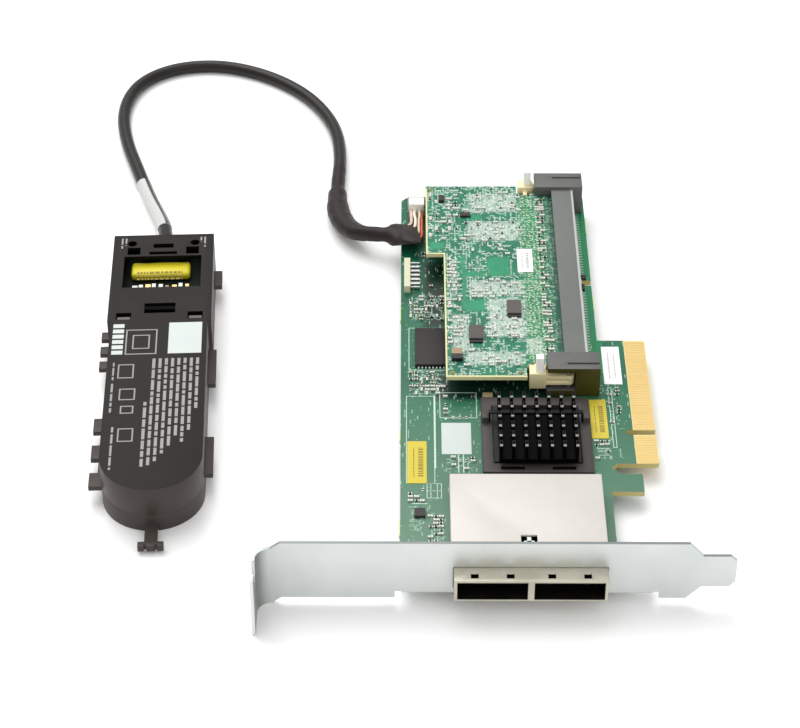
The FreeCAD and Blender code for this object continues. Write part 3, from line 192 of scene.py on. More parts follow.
def makeGroups():
    tree, given, result = newGroup("millimetres", [], [("Spot", "Vector")])
    metres = put(tree, "TexCoord").outputs["Object"]
    scaled = put(tree, "VectorMath", {0: metres, "Scale": 1 / mm}, operation="SCALE")
    tree.links.new(scaled.outputs[0], result["Spot"])

    # rectangles in rows, of which a share is filled
    tree, given, result = newGroup("partGrid", [
        ("Spot", "Vector", (0, 0, 0)), ("Length", "Float", 1), ("Row", "Float", 0.6), ("Share", "Float", 0.5),
        ("Gap", "Float", 0.1)], [("Mask", "Float")])
    grid = put(tree, "TexBrick", {
        "Vector": given["Spot"], "Color1": (0, 0, 0, 1), "Color2": (1, 1, 1, 1), "Mortar": (0, 0, 0, 1),
        "Scale": 1, "Mortar Size": given["Gap"], "Mortar Smooth": 0, "Brick Width": given["Length"],
        "Row Height": given["Row"]})
    limit = maths(tree, "SUBTRACT", 1.0, given["Share"])
    tree.links.new(maths(tree, "GREATER_THAN", grid.outputs["Color"], limit), result["Mask"])

    # round dots on a loose grid
    tree, given, result = newGroup("dots", [
        ("Spot", "Vector", (0, 0, 0)), ("Pitch", "Float", 1), ("Radius", "Float", 0.2),
        ("Loose", "Float", 0.6)], [("Mask", "Float")])
    flat = put(tree, "VectorMath", {0: given["Spot"], 1: (1, 1, 0)}, operation="MULTIPLY").outputs[0]
    density = maths(tree, "DIVIDE", 1.0, given["Pitch"])
    cells = put(tree, "TexVoronoi", {"Vector": flat, "Scale": density, "Randomness": given["Loose"]},
                voronoi_dimensions="2D")
    reach = times(tree, given["Radius"], density)
    tree.links.new(maths(tree, "LESS_THAN", cells.outputs["Distance"], reach), result["Mask"])

    # a soft-edged rectangle
    tree, given, result = newGroup("zone", [
        ("Spot", "Vector", (0, 0, 0)), ("Low", "Vector", (0, 0, 0)), ("High", "Vector", (1, 1, 0)),
        ("Soft", "Float", 0.3)], [("Mask", "Float")])
    reaches = []
    for far, near in (("Spot", "Low"), ("High", "Spot")):
        reach = put(tree, "VectorMath", {0: given[far], 1: given[near]}, operation="SUBTRACT").outputs[0]
        reaches += axes(tree, reach)[:2]
    least = reaches[0]
    for reach in reaches[1:]:
        least = maths(tree, "MINIMUM", least, reach)
    inside = put(tree, "MapRange", {0: least, 1: 0, 2: given["Soft"]})
    tree.links.new(inside.outputs[0], result["Mask"])

    # moulded or rolled surface: tone round 1, and a height for its bump
    tree, given, result = newGroup("grain", [
        ("Spot", "Vector", (0, 0, 0)), ("Scale", "Float", 4), ("Spread", "Float", 0.15)],
        [("Tone", "Float"), ("Height", "Float")])
    fine = noise(tree, given["Spot"], given["Scale"], 2.0)
    broad = noise(tree, given["Spot"], times(tree, given["Scale"], 0.04), 2.0)
    both = maths(tree, "ADD", times(tree, fine, 0.4), times(tree, broad, 0.6))
    tone = maths(tree, "ADD", 1.0, times(tree, maths(tree, "SUBTRACT", both, 0.5), given["Spread"]))
    tree.links.new(tone, result["Tone"])
    tree.links.new(fine, result["Height"])

    # rounding for tiny corners, and a mask of them for rubbed wear and a painted edge highlight
    tree, given, result = newGroup("corners", [("Radius", "Float", 0.0002), ("Normal", "Vector", (0, 0, 0))],
                                   [("Normal", "Vector"), ("Mask", "Float")])
    rounded = put(tree, "Bevel", {"Radius": given["Radius"], "Normal": given["Normal"]}, samples=4).outputs[0]
    flat = put(tree, "NewGeometry").outputs["Normal"]
    same = put(tree, "VectorMath", {0: rounded, 1: flat}, operation="DOT_PRODUCT").outputs["Value"]
    tree.links.new(rounded, result["Normal"])
    tree.links.new(between(tree, same, 0.98, 0.8), result["Mask"])
    print("shared effects made")


def newFinish(name):
    material = bpy.data.materials.new(name)
    material.use_nodes = True
    tree = material.node_tree
    return material, tree, grouped(tree, "millimetres")["Spot"]


# Plain finishes: base colour, a second colour in its grain, roughness, metal, grain in a millimetre,
# bump, shine.
finishes = {
    "packPlastic": ("#1a1613", "#231e1b", 0.52, 0, 5.0, 0.05, 0.18),
    # a lighter copy of the pack plastic: painted light on the pack's walls
    "packLitSidePlastic": ("#3a332f", "#463e3a", 0.44, 0, 4.0, 0.04, 0.3),
    # near black: painted shade for faces inside the pack
    "packShadedInside": ("#040404", "#080707", 0.70, 0, 2.0, 0.02, 0.1),
    "socketPlastic": ("#535452", "#60615e", 0.55, 0, 3.0, 0.04, 0.5),
    "barPlastic": ("#585b58", "#6b6d69", 0.55, 0, 1.2, 0.04, 0.5),
    "oliveShade": ("#3a3813", "#4d4a1e", 0.45, 0, 1.0, 0.03, 0.2),
    "ivoryPlastic": ("#e6d9a4", "#eee3b8", 0.42, 0, 1.2, 0.02, 0.5),
    "knobPlastic": ("#fbf9ea", "#ffffff", 0.42, 0, 1.2, 0.02, 0.5),
    "whitePlastic": ("#ecebe4", "#f6f5ef", 0.40, 0, 1.5, 0.02, 0.5),
    "headerPlastic": ("#c9c7a6", "#d8d6ba", 0.50, 0, 1.5, 0.02, 0.5),
    "chipEpoxy": ("#25211f", "#2e2a27", 0.55, 0, 4.0, 0.05, 0.3),
    "regulatorTop": ("#4b4543", "#5b5552", 0.50, 0, 3.0, 0.04, 0.35),
    "memoryEpoxy": ("#1a1919", "#252323", 0.55, 0, 4.0, 0.05, 0.3),
    "framePlastic": ("#3f3b38", "#4a4643", 0.55, 0, 3.0, 0.04, 0.35),
    "insulatorPlastic": ("#070707", "#0d0d0d", 0.60, 0, 3.0, 0.03, 0.15),
    # near black: painted shade in the port mouths and the frame slots
    "recessShade": ("#0a0908", "#12100e", 0.55, 0, 2.0, 0.02, 0.1),
    "glandRubber": ("#151312", "#201d1b", 0.62, 0, 2.0, 0.05, 0.2),
    "cellSteel": ("#1b1a19", "#262423", 0.60, 0, 1.0, 0.02, 0.2),
    "yellowFoam": ("#cfc012", "#dccf2c", 0.45, 0, 1.4, 0.03, 0.5),
    "padGrey": ("#8d9296", "#9da2a5", 0.70, 0, 3.0, 0.04, 0.5),
    "springDark": ("#070707", "#0d0c0c", 0.45, 0, 1.0, 0.02, 0.2),
    "screwSteel": ("#a9aaa8", "#c2c2bf", 0.28, 1, 1.0, 0.02, 0.5),
    "tinnedWire": ("#c3c4c1", "#dad9d4", 0.32, 1, 1.5, 0.03, 0.5),
    "socketTail": ("#d9dcd4", "#e8eae2", 0.45, 0.3, 1.5, 0.03, 0.5),
    "barEdgeHighlight": ("#a9aba8", "#b9bbb8", 0.50, 0, 1.2, 0.03, 0.5),
    "solder": ("#a8aaab", "#c4c5c4", 0.36, 1, 2.0, 0.04, 0.5),
    "gold": ("#e0bd70", "#e9cb8c", 0.36, 0.55, 1.5, 0.02, 0.5),
    "tinCap": ("#cfd0cc", "#e3e2dc", 0.40, 0.6, 2.0, 0.02, 0.5),
    "ceramicTan": ("#94805f", "#a89272", 0.55, 0, 2.0, 0.02, 0.5),
    "ceramicDark": ("#2b2927", "#3a3633", 0.45, 0, 2.0, 0.02, 0.3),
    "ceramicPale": ("#b3b5a8", "#cfd0c4", 0.50, 0, 2.0, 0.02, 0.5),
    "ceramicWhite": ("#d7ddd5", "#e8ebe4", 0.50, 0, 2.0, 0.02, 0.5),
    "printInk": ("#bcd6c6", "#cfe3d5", 0.60, 0, 3.0, 0.01, 0.5),
    "packInk": ("#8f8c88", "#a29f9b", 0.60, 0, 3.0, 0.01, 0.5),
    "whiteInk": ("#c3ccc8", "#d0d7d3", 0.60, 0, 3.0, 0.01, 0.5),
    "yellowInk": ("#857420", "#98852c", 0.55, 0, 3.0, 0.01, 0.5),
    "greyInk": ("#a3a5a4", "#b3b5b4", 0.55, 0, 3.0, 0.01, 0.5),
    "yellowPaper": ("#c8b62c", "#d3c23e", 0.55, 0, 1.2, 0.01, 0.5),
    "whitePaper": ("#f1f0ee", "#fbfaf8", 0.55, 0, 1.2, 0.01, 0.5),
    # green darkened nearly to black: painted shade on the gauge board inside the pack
    "gaugeGreenShaded": ("#060b07", "#0d1810", 0.60, 0, 1.5, 0.02, 0.12),
    "ledgeGrey": ("#55504c", "#625c57", 0.50, 0, 2.0, 0.02, 0.5),
    "legBlack": ("#0c0b0b", "#1c1a19", 0.45, 0, 2.0, 0.02, 0.5),
    "edgeNub": ("#cbe08a", "#dcec9f", 0.60, 0, 2.0, 0.03, 0.5),
    "wireRed": ("#d2552f", "#de6b45", 0.40, 0, 2.0, 0.02, 0.5),
    "wirePink": ("#e3b3a2", "#edc6b8", 0.40, 0, 2.0, 0.02, 0.5),
    "wireWhite": ("#e8e0d6", "#f2ece4", 0.40, 0, 2.0, 0.02, 0.5),
    "wireCream": ("#d9c3a6", "#e6d3b8", 0.40, 0, 2.0, 0.02, 0.5),
}
made = {}


def closeFinish(material, color, rough, bump, height, normal=None, metal=0.0, shine=0.5):
    tree, shader = material.node_tree, material.node_tree.nodes["Principled BSDF"]
    fill(tree, shader.inputs["Base Color"], color)
    fill(tree, shader.inputs["Roughness"], rough)
    shader.inputs["Metallic"].default_value = metal
    shader.inputs["Specular IOR Level"].default_value = shine
    sockets = {"Strength": 1.0, "Distance": bump * mm, "Height": height}
    if normal is not None:
        sockets["Normal"] = normal
    fill(tree, shader.inputs["Normal"], put(tree, "Bump", sockets).outputs[0])
    made[material.name] = material
    return material


def finishNamed(name):
    if name in made:
        return made[name]
    base, second, rough, metal, scale, bump, shine = finishes[name]
    material, tree, spot = newFinish(name)
    grain = grouped(tree, "grain", Spot=spot, Scale=scale, Spread=0.5)
    corner = grouped(tree, "corners", Radius=0.00015)
    body = mixed(tree, between(tree, grain["Tone"], 0.85, 1.15), tint(base), tint(second))
    # corners take the second colour: partly rubbed wear, partly a painted edge highlight
    wornAndHighlit = mixed(tree, times(tree, corner["Mask"], 0.35), body, tint(second))
    sheen = between(tree, grain["Tone"], 0.8, 1.2, rough - 0.06, rough + 0.06)
    return closeFinish(material, wornAndHighlit, sheen, bump, grain["Height"], corner["Normal"], metal, shine)


def makeFloorFinish():
    material, tree, spot = newFinish("floorPaint")
    shader = tree.nodes["Principled BSDF"]
    color = mixed(tree, noise(tree, spot, 0.01), tint("#fbfbfa"), tint("#ffffff"))
    fill(tree, shader.inputs["Base Color"], color)
    shader.inputs["Roughness"].default_value = 0.3
    return material


# Green boards: copper under the mask, vias, print, and the pale cut edge. In both looks a coat is its
# colour and share, a grid the length, height, gap and share of its rectangles, and a zone the softness
# and wander of its edge, then its rectangles. A cloud is the scale and detail of a noise and the two
# limits that it runs between, sometimes with its roughness.
boardLook = {
    "dark": "#084b34", "light": "#13694a", "edge": "#d8c27c", "via": "#9fc9a2", "tongue": "#e3cd8c",
    "pour": ("#13694a", 0.25), "line": ("#23805d", 0.3), "frontReflection": ("#6f8c77", 0.72), "ink": ("#a9cbb6", 0.7),
    "bright": ("#0c8a55", 0.75), "shade": ("#041a11", 0.88), "tick": ("#dfe5dc", 0.55),
    "frontReflectionRun": (84, 8),  # where the painted reflection runs from clear to full
    "pourGrid": (9.0, 6.0, 0.25, 0.5), "wideGrid": (1.5, 0.62, 0.14, 0.42),
    "tallGrid": (1.3, 0.7, 0.14, 0.25), "sparseGrid": (1.7, 0.5, 0.1, 0.05),
    "cloud": (0.05, 3.0, 0.3, 0.7), "rough": (0.34, 0.58),
    "vias": {"Pitch": 1.9, "Radius": 0.24}, "shown": (0.55, 0.5),  # limit and share of the stray vias
    "zones": {
        "print": (0.5, 2.4, [(2.7, 107.7, 12.3, 119.3), (2.6, 74.5, 12.2, 85.8), (7.5, 16.0, 11.6, 27.0),
                             (2.4, 20.0, 6.6, 30.5), (52.5, 47.9, 56.3, 52.7), (12.0, 44.0, 19.5, 49.0)]),
        "dotted": (1.5, 2.4, [(53.0, 60.0, 60.5, 84.0), (1.5, 86.0, 3.6, 108.0)]),
        "shaded": (2.5, 0, [(5.2, 103.0, 14.5, 136.0), (8.0, 71.5, 46.0, 84.0)]),
        "plain": (0.2, 0, [(51.0, 97.0, 57.0, 165.0), (52.4, 0.0, 57.0, 47.0), (55.0, 34.0, 66.0, 46.0),
                           (11.0, 49.5, 19.5, 63.5)]),
        "tongue": (0.05, 0, [(62.6, 46.0, 72.0, 104.0)]),
        "ticks": (0.5, 0, [(52.3, 84.0, 53.7, 160.0)]),
        "bright": (0.4, 0, [(52.0, 84.0, 57.0, 165.0)]),
    },
}
moduleLook = {
    "dark": "#065a48", "base": "#147a58", "pale": "#8ab39b", "paler": "#dbe1d8", "rim": "#dcd8a4",
    "line": ("#2a9f6c", 0.3), "clear": ("#2a9f6c", 0.55), "strip": ("#3f8a5e", 0.65),
    "white": ("#b9c5bb", 0.7), "darkMark": ("#1d4a3e", 0.8), "sparks": ("#eef1e6", 0.8),
    "dot": ("#d3dfae", 0.62), "barShadow": ("#1d4a3e", 0.7),
    "wideGrid": (1.9, 1.0, 0.2), "tallGrid": (2.3, 0.8, 0.18),
    "filled": (0.34, 0.5),  # share of the wide and tall grids, off and on the white zones
    "markShare": (0.8, 0.35),  # off and on the strip
    "darkGrid": (1.2, 0.7, 0.14, 0.2), "sparkGrid": (0.9, 0.6, 0.14, 0.13),
    "cloud": (0.13, 2.0, 0.35, 0.65), "tone": (1.1, 3.0, 0.35, 0.65, 0.7), "blots": (1.3, 2.0, 0.45, 0.6),
    "veil": (0.55, 4.0, 0.42, 0.62, 0.65), "veilShare": (0.42, 0.08),  # off and on the white zones
    "dots": {"Pitch": 1.15, "Radius": 0.27}, "rough": (0.36, 0.58),
    "zones": {
        "white": (1.4, 2.4, [
            (19.6, 151.3, 35.1, 161.9), (18.8, 137.2, 35.4, 147.5), (19.1, 110.4, 35.6, 118.7),
            (24.0, 91.6, 35.7, 110.4), (17.6, 79.4, 34.4, 86.4), (13.8, 84.5, 20.0, 103.0),
            (34.5, 84.0, 40.0, 92.0), (13.6, 110.0, 16.6, 128.5)]),
        "clear": (1.0, 2.4, [
            (18.9, 147.7, 24.1, 151.0), (24.6, 120.0, 31.8, 130.0), (17.7, 103.6, 24.2, 109.4),
            (17.0, 104.0, 19.0, 131.0), (8.0, 133.0, 13.0, 137.0), (17.5, 119.6, 24.6, 123.0)]),
        "strip": (0.8, 2.4, [(34.9, 82.0, 43.6, 160.0)]),
        "column": (0.4, 0.6, [(40.2, 84.0, 43.4, 159.0)]),
        "barShadow": (1.2, 0, [(43.0, 82.0, 46.0, 162.0)]),
        "rims": (0.2, 0, [(12.0, 74.0, 12.95, 131.5), (7.0, 130.8, 7.85, 164.0), (12.0, 74.0, 45.0, 75.4),
                          (7.0, 130.8, 12.9, 131.6)]),
    },
}
tracks = {"along": (16.0, 0.42, 0.1, 0.5), "across": (11.0, 0.42, 0.1, 0.4), "turns": (0.09, 2.0, 0.45, 0.55)}


def rows(tree, spot, length, row, gap, share):
    return grouped(tree, "partGrid", Spot=spot, Length=length, Row=row, Gap=gap, Share=share)["Mask"]


def over(tree, under, mask, coat):
    code, share = coat
    return mixed(tree, times(tree, mask, share), under, tint(code))


def zoneMask(tree, spot, soft, wander, corners):
    swirl = put(tree, "TexNoise", {"Vector": spot, "Scale": 0.8}).outputs["Color"]
    shift = put(tree, "VectorMath", {0: swirl, 1: (wander, wander, 0)}, operation="MULTIPLY").outputs[0]
    rough = put(tree, "VectorMath", {0: spot, 1: shift}, operation="ADD").outputs[0]
    whole = None
    for x0, y0, x1, y1 in corners:
        low, high = at(x0 + wander / 2, y0 + wander / 2, 0) / mm, at(x1 + wander / 2, y1 + wander / 2, 0) / mm
        one = grouped(tree, "zone", Spot=rough, Low=low, High=high, Soft=soft)["Mask"]
        whole = one if whole is None else most(tree, whole, one)
    return whole


def boardBase(name, look):
    material, tree, spot = newFinish(name)
    turned = put(tree, "Mapping", {"Vector": spot, "Rotation": (0, 0, math.pi / 2)}).outputs[0]
    along, across = rows(tree, turned, *tracks["along"]), rows(tree, spot, *tracks["across"])
    lines = mixed(tree, clouds(tree, spot, *tracks["turns"]), along, across)
    zones = {key: zoneMask(tree, spot, *zone) for key, zone in look["zones"].items()}
    return material, tree, spot, turned, lines, zones


def boardEnd(material, tree, spot, top, rough, height, edge, light):
    upright = axes(tree, put(tree, "NewGeometry").outputs["True Normal"])[2]
    side = between(tree, maths(tree, "ABSOLUTE", upright), 0.7, 0.4)
    fibre = times(tree, noise(tree, spot, 3.0, 4.0), 0.5)
    color = mixed(tree, side, top, mixed(tree, fibre, tint(edge), tint(light)))
    closeFinish(material, color, rough, 0.025, height, shine=0.4)


def boardFinish():
    look = boardLook
    material, tree, spot, turned, lines, zones = boardBase("mainGreen", look)
    slanted = put(tree, "Mapping", {"Vector": spot, "Rotation": (0, 0, math.pi / 4)}).outputs[0]
    far, near = [at(0, y, 0).y / mm for y in look["frontReflectionRun"]]
    green = mixed(tree, clouds(tree, spot, *look["cloud"]), tint(look["dark"]), tint(look["light"]))
    green = over(tree, green, rows(tree, slanted, *look["pourGrid"]), look["pour"])
    green = over(tree, green, lines, look["line"])
    # a painted reflection that greys the board towards its front
    green = over(tree, green, between(tree, axes(tree, spot)[1], far, near), look["frontReflection"])
    green = over(tree, green, zones["bright"], look["bright"])
    green = over(tree, green, zones["shaded"], look["shade"])

    # a share of the vias shows, and all of them in the dotted zones
    plain = maths(tree, "SUBTRACT", 1.0, zones["plain"])
    vias = grouped(tree, "dots", Spot=spot, **look["vias"])["Mask"]
    limit, share = look["shown"]
    kept = maths(tree, "GREATER_THAN", noise(tree, spot, 0.35, 1.0), limit)
    some = times(tree, times(tree, vias, plain), times(tree, kept, share))
    green = mixed(tree, most(tree, some, times(tree, vias, zones["dotted"])), green, tint(look["via"]))

    # print: blocks in their own zones, a few anywhere, and a row of ticks
    ink = most(tree, rows(tree, spot, *look["wideGrid"]), rows(tree, turned, *look["tallGrid"]))
    ink = most(tree, times(tree, ink, zones["print"]), rows(tree, turned, *look["sparseGrid"]))
    ink = times(tree, ink, plain)
    green = over(tree, green, ink, look["ink"])
    tick = put(tree, "TexWave", {"Vector": spot, "Scale": 0.25}, bands_direction="Y").outputs["Fac"]
    green = over(tree, green, times(tree, between(tree, tick, 0.45, 0.8), zones["ticks"]), look["tick"])
    green = mixed(tree, zones["tongue"], green, tint(look["tongue"]))
    height = maths(tree, "ADD", times(tree, lines, 0.6), maths(tree, "ADD", ink, vias))
    rough = between(tree, ink, 0, 1, *look["rough"])
    boardEnd(material, tree, spot, green, rough, height, look["edge"], look["light"])


def moduleFinish():
    look = moduleLook
    material, tree, spot, turned, lines, zones = boardBase("moduleGreen", look)
    white, strip = zones["white"], zones["strip"]
    bare = between(tree, zones["clear"], 0, 0.8, 1, 0)
    green = mixed(tree, clouds(tree, spot, *look["cloud"]), tint(look["dark"]), tint(look["base"]))
    green = over(tree, green, lines, look["line"])
    green = over(tree, green, zones["clear"], look["clear"])
    green = over(tree, green, strip, look["strip"])
    green = over(tree, green, white, look["white"])

    # crowded pale marks, fewer on the strip and none in the clear zones
    pale = mixed(tree, clouds(tree, spot, *look["tone"]), tint(look["pale"]), tint(look["paler"]))
    filled = between(tree, white, 0, 1, *look["filled"])
    wide, tall = rows(tree, spot, *look["wideGrid"], filled), rows(tree, turned, *look["tallGrid"], filled)
    marked = times(tree, most(tree, wide, tall), bare)
    green = mixed(tree, times(tree, marked, between(tree, strip, 0, 1, *look["markShare"])), green, pale)
    green = over(tree, green, times(tree, rows(tree, turned, *look["darkGrid"]), bare), look["darkMark"])
    green = over(tree, green, times(tree, rows(tree, spot, *look["sparkGrid"]), bare), look["sparks"])
    veil = times(tree, clouds(tree, spot, *look["veil"]), between(tree, white, 0, 1, *look["veilShare"]))
    green = mixed(tree, veil, green, tint(look["base"]))

    # dots on the strip, a dark column beside it, a painted shadow of the socket bar, and the pale rims
    dots = grouped(tree, "dots", Spot=spot, **look["dots"])["Mask"]
    green = over(tree, green, times(tree, dots, strip), look["dot"])
    blots = clouds(tree, spot, *look["blots"])
    green = over(tree, green, times(tree, zones["column"], blots), look["darkMark"])
    # painted shadow of the socket bar
    green = over(tree, green, zones["barShadow"], look["barShadow"])
    green = mixed(tree, zones["rims"], green, tint(look["rim"]))
    rough = between(tree, marked, 0, 1, *look["rough"])
    boardEnd(material, tree, spot, green, rough, lines, look["rim"], look["rim"])


# metals with a look of their own
bracketLook = {
    "pale": "#d6dbda", "paler": "#e2e5e3", "wornAndHighlit": "#eceeec", "upperShade": "#7d8281", "bend": "#5d5e58",
    "runs": (8.0, 6.0, 2.0),  # millimetres from the folded end: no painted bend shade, full painted shades, least painted shade on upper faces
}


def bracketFinish():
    look = bracketLook
    material, tree, spot = newFinish("bracketZinc")
    rolled = put(tree, "Mapping", {"Vector": spot, "Scale": (0.15, 4.0, 4.0)}).outputs[0]
    grain = grouped(tree, "grain", Spot=rolled, Scale=1.5, Spread=0.5)
    corner = grouped(tree, "corners", Radius=0.00025)
    body = mixed(tree, clouds(tree, spot, 0.05, 4.0, 0.3, 0.7), tint(look["pale"]), tint(look["paler"]))
    # paler corners: partly rubbed wear, partly a painted edge highlight
    body = mixed(tree, corner["Mask"], body, tint(look["wornAndHighlit"]))
    facing = axes(tree, put(tree, "NewGeometry").outputs["True Normal"])
    across = axes(tree, spot)[0]
    bendEnd, full, upperShadeStart = [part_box("bracket")[0].x / mm + run for run in look["runs"]]
    # painted shade on faces that look up, half as strong near the folded end
    upperShade = times(tree, between(tree, facing[2], 0.6, 0.9), between(tree, across, upperShadeStart, full, 0.5, 1))
    body = mixed(tree, upperShade, body, tint(look["upperShade"]))
    # painted shade on faces turned into the bend near the folded end
    bend = times(tree, between(tree, facing[0], 0.0, 0.8, 0, 0.65), between(tree, across, bendEnd, full))
    body = mixed(tree, bend, body, tint(look["bend"]))
    rough = between(tree, grain["Tone"], 0.8, 1.2, 0.38, 0.5)
    closeFinish(material, body, rough, 0.01, grain["Height"], corner["Normal"], metal=0.85)


def cageFinish(name, pale, dark, rough, metal):
    material, tree, spot = newFinish(name)
    drawn = put(tree, "Mapping", {"Vector": spot, "Scale": (0.3, 3.0, 3.0)}).outputs[0]
    grain = grouped(tree, "grain", Spot=drawn, Scale=1.2, Spread=0.5)
    corner = grouped(tree, "corners", Radius=0.0004)
    body = mixed(tree, clouds(tree, spot, 0.12, 4.0, 0.35, 0.65), tint(pale), tint(dark))
    # paler corners: partly rubbed wear, partly a painted edge highlight
    body = mixed(tree, times(tree, corner["Mask"], 0.5), body, tint(pale))
    sheen = between(tree, grain["Tone"], 0.8, 1.2, rough - 0.07, rough + 0.07)
    closeFinish(material, body, sheen, 0.012, grain["Height"], corner["Normal"], metal)


# pin pitch, length and rows, then the painted highlight on each pin top: its offset, length, depth and
# softness, then the colours and shares
sinkLook = {
    "row": 3.96, "pin": 2.2, "rows": 6, "early": 0.1, "spot": 0.5, "tall": 0.42, "soft": 0.15,
    "dark": "#030303", "pale": "#080708", "tipHighlight": "#dcdad6", "tipHighlightShare": 0.55, "rimHighlightShare": 0.12,
}


def sinkFinish():
    look = sinkLook
    material, tree, spot = newFinish("blackAnodised")
    grain = grouped(tree, "grain", Spot=spot, Scale=4.0, Spread=0.6)
    corner = grouped(tree, "corners", Radius=0.0003)
    low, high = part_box("heat_sink")
    parts = axes(tree, spot)
    start = high.z / mm - look["tall"]
    tall = between(tree, parts[2], start, start + look["soft"])
    front = (low.y + high.y) / 2 / mm - ((look["rows"] - 1) * look["row"] + look["pin"]) / 2
    along = maths(tree, "SUBTRACT", parts[1], front - look["early"])
    along = maths(tree, "FLOORED_MODULO", along, look["row"])
    # a painted highlight spot at the front of each pin's top, and a fainter painted highlight on its top
    # edges
    tipHighlight = times(tree, tall, between(tree, along, look["spot"], look["spot"] + look["soft"], 1, 0))
    rim = times(tree, times(tree, corner["Mask"], tall), look["rimHighlightShare"])
    body = mixed(tree, between(tree, grain["Tone"], 0.85, 1.15), tint(look["dark"]), tint(look["pale"]))
    body = mixed(tree, most(tree, times(tree, tipHighlight, look["tipHighlightShare"]), rim), body, tint(look["tipHighlight"]))
    closeFinish(material, body, 0.42, 0.02, grain["Height"], corner["Normal"], shine=0.04)


def cordFinish(name, dark, pale, rough, stretch, shine):
    material, tree, spot = newFinish(name)
    grain = grouped(tree, "grain", Spot=spot, Scale=stretch, Spread=0.6)
    scuff = clouds(tree, spot, 0.25, 5.0, 0.55, 0.75)
    body = mixed(tree, between(tree, grain["Tone"], 0.8, 1.2), tint(dark), tint(pale))
    body = mixed(tree, times(tree, scuff, 0.35), body, tint(pale))
    sheen = between(tree, scuff, 0, 1, rough, rough + 0.14)
    closeFinish(material, body, sheen, 0.05, grain["Height"], shine=shine)


# mesh helpers
def finished(name, mesh, materials, smooth=None, body="card"):
    data = bpy.data.meshes.new(name)
    mesh.to_mesh(data)
    mesh.free()
    for material in materials:
        data.materials.append(finishNamed(material))
    piece = bpy.data.objects.new(name, data)
    bpy.context.scene.collection.objects.link(piece)
    if smooth:
        data.polygons.foreach_set("use_smooth", [True] * len(data.polygons))
        data.set_sharp_from_angle(angle=math.radians(smooth))
    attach(piece, body)
    return piece


def addBox(mesh, low, high, index=0, turn=None):
    low, high = Vector(low), Vector(high)
    size = Matrix.Translation((low + high) / 2) @ Matrix.Diagonal((*(high - low), 1))
    new = bmesh.ops.create_cube(mesh, size=1, matrix=turn @ size if turn else size)["verts"]
    for face in {face for vert in new for face in vert.link_faces}:
        face.material_index = index


softEdges = {"flat": 0.6, "sharp": 28.0, "smooth": 40.0, "join": 2e-6, "cut": 1e-7}  # degrees, then metres


def softened(name, node, finish, slot, radius, patches=(), cut=None, body="card"):
    mesh = bmesh.new()
    mesh.from_mesh(nodes[node].data)
    bmesh.ops.remove_doubles(mesh, verts=mesh.verts, dist=softEdges["join"])
    flat, bent = math.radians(softEdges["flat"]), math.radians(softEdges["sharp"])
    bmesh.ops.dissolve_limit(mesh, angle_limit=flat, verts=mesh.verts, edges=mesh.edges)
    for face in mesh.faces:
        face.material_index = 0
    sharp = [edge for edge in mesh.edges if len(edge.link_faces) == 2 and edge.calc_face_angle(0) > bent]
    bmesh.ops.bevel(mesh, geom=sharp, offset=radius * mm, offset_type="OFFSET", affect="EDGES",
                    segments=2, profile=0.5, material=-1, clamp_overlap=True)
    if cut:
        bmesh.ops.bisect_plane(mesh, geom=[*mesh.verts, *mesh.edges, *mesh.faces], dist=softEdges["cut"],
                               plane_co=at(cut, 0, 0), plane_no=(1, 0, 0))
        # the cut leaves the faces in another order each run, so they are put in one order
        mesh.verts.index_update()
        ranked = sorted(mesh.faces, key=lambda face: sorted(vert.index for vert in face.verts))
        mesh.faces.sort(key={face: rank for rank, face in enumerate(ranked)}.get)
    for index, (patch, wanted) in enumerate(patches, 1):
        for face in mesh.faces:
            if wanted(place(face.calc_center_median()), face.normal):
                face.material_index = index
    materials = [finish, *[patch for patch, wanted in patches]]
    piece = finished(name, mesh, materials, softEdges["smooth"], body)
    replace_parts(piece, node)
    return piece


# the cable between the pack and the card
cable = {
    "diameter": 4.0, "length": 268.6,
    "route": [
        (-69.46, 139.4, 7.2), (-70.2, 149.6, 6.6), (-73.0, 160.0, 3.9), (-77.4, 172.4, 2.2),
        (-82.4, 188.0, 2.2), (-87.8, 205.0, 2.0), (-90.5, 222.4, 2.0), (-87.2, 238.0, 2.0),
        (-76.4, 248.0, 2.0), (-60.4, 250.4, 2.0), (-43.6, 243.6, 2.0), (-29.6, 230.6, 2.0),
        (-21.2, 213.6, 2.0), (-19.0, 195.4, 2.8), (-19.8, 177.6, 2.8), (-19.4, 162.6, 3.3),
        (-14.9, 151.4, 5.1), (-7.2, 145.7, 8.24), (1.3, 145.0, 8.74),
    ],
}
sleeve = {  # share of the sleeve's run, half width, half height, twist in degrees
    "length": 55.0,
    "shape": [(0.0, 2.1, 2.1, 0), (0.21, 2.12, 2.12, 0), (0.25, 2.85, 2.8, 0), (0.45, 3.5, 3.1, 10),
              (0.68, 3.5, 2.7, 20), (0.80, 2.5, 2.1, 60), (0.885, 2.12, 2.06, 110), (0.96, 4.8, 2.05, 165),
              (1.0, 6.4, 2.05, 180)],
    "around": 20, "step": 0.9, "wrinkle": 0.05, "thinner": 0.25, "smooth": 60,
    "flare": [(1.3, -6, 7.2), (1.3, -6, 7.5), (1.0, -4, 7.4)],  # step, turn, half width
}
wrap = {"start": 12.0, "end": 43.0, "step": 1.5, "radius": 2.14, "around": 24, "turn": 95.0, "seam": 0.2,
        "smooth": 50}
leads = {  # the wires fan out from the cable's end to the plug; "exit" is x, y and the slope of their bend
    "radius": 0.45, "end": (0.8, 145.6), "exit": (3.0, 150.0, -1.9), "plugFront": 157.4, "level": 8.74,
    "rise": 0.4, "sway": 2.1, "before": (-1.3, -0.9), "after": (0.1, 0.6), "ahead": 1.6, "into": 0.6,
    "wires": [("wirePink", 3.0, 0), ("wireWhite", 4.1, 0), ("wireCream", 5.3, 0), ("wireRed", 6.1, -0.7)],
}


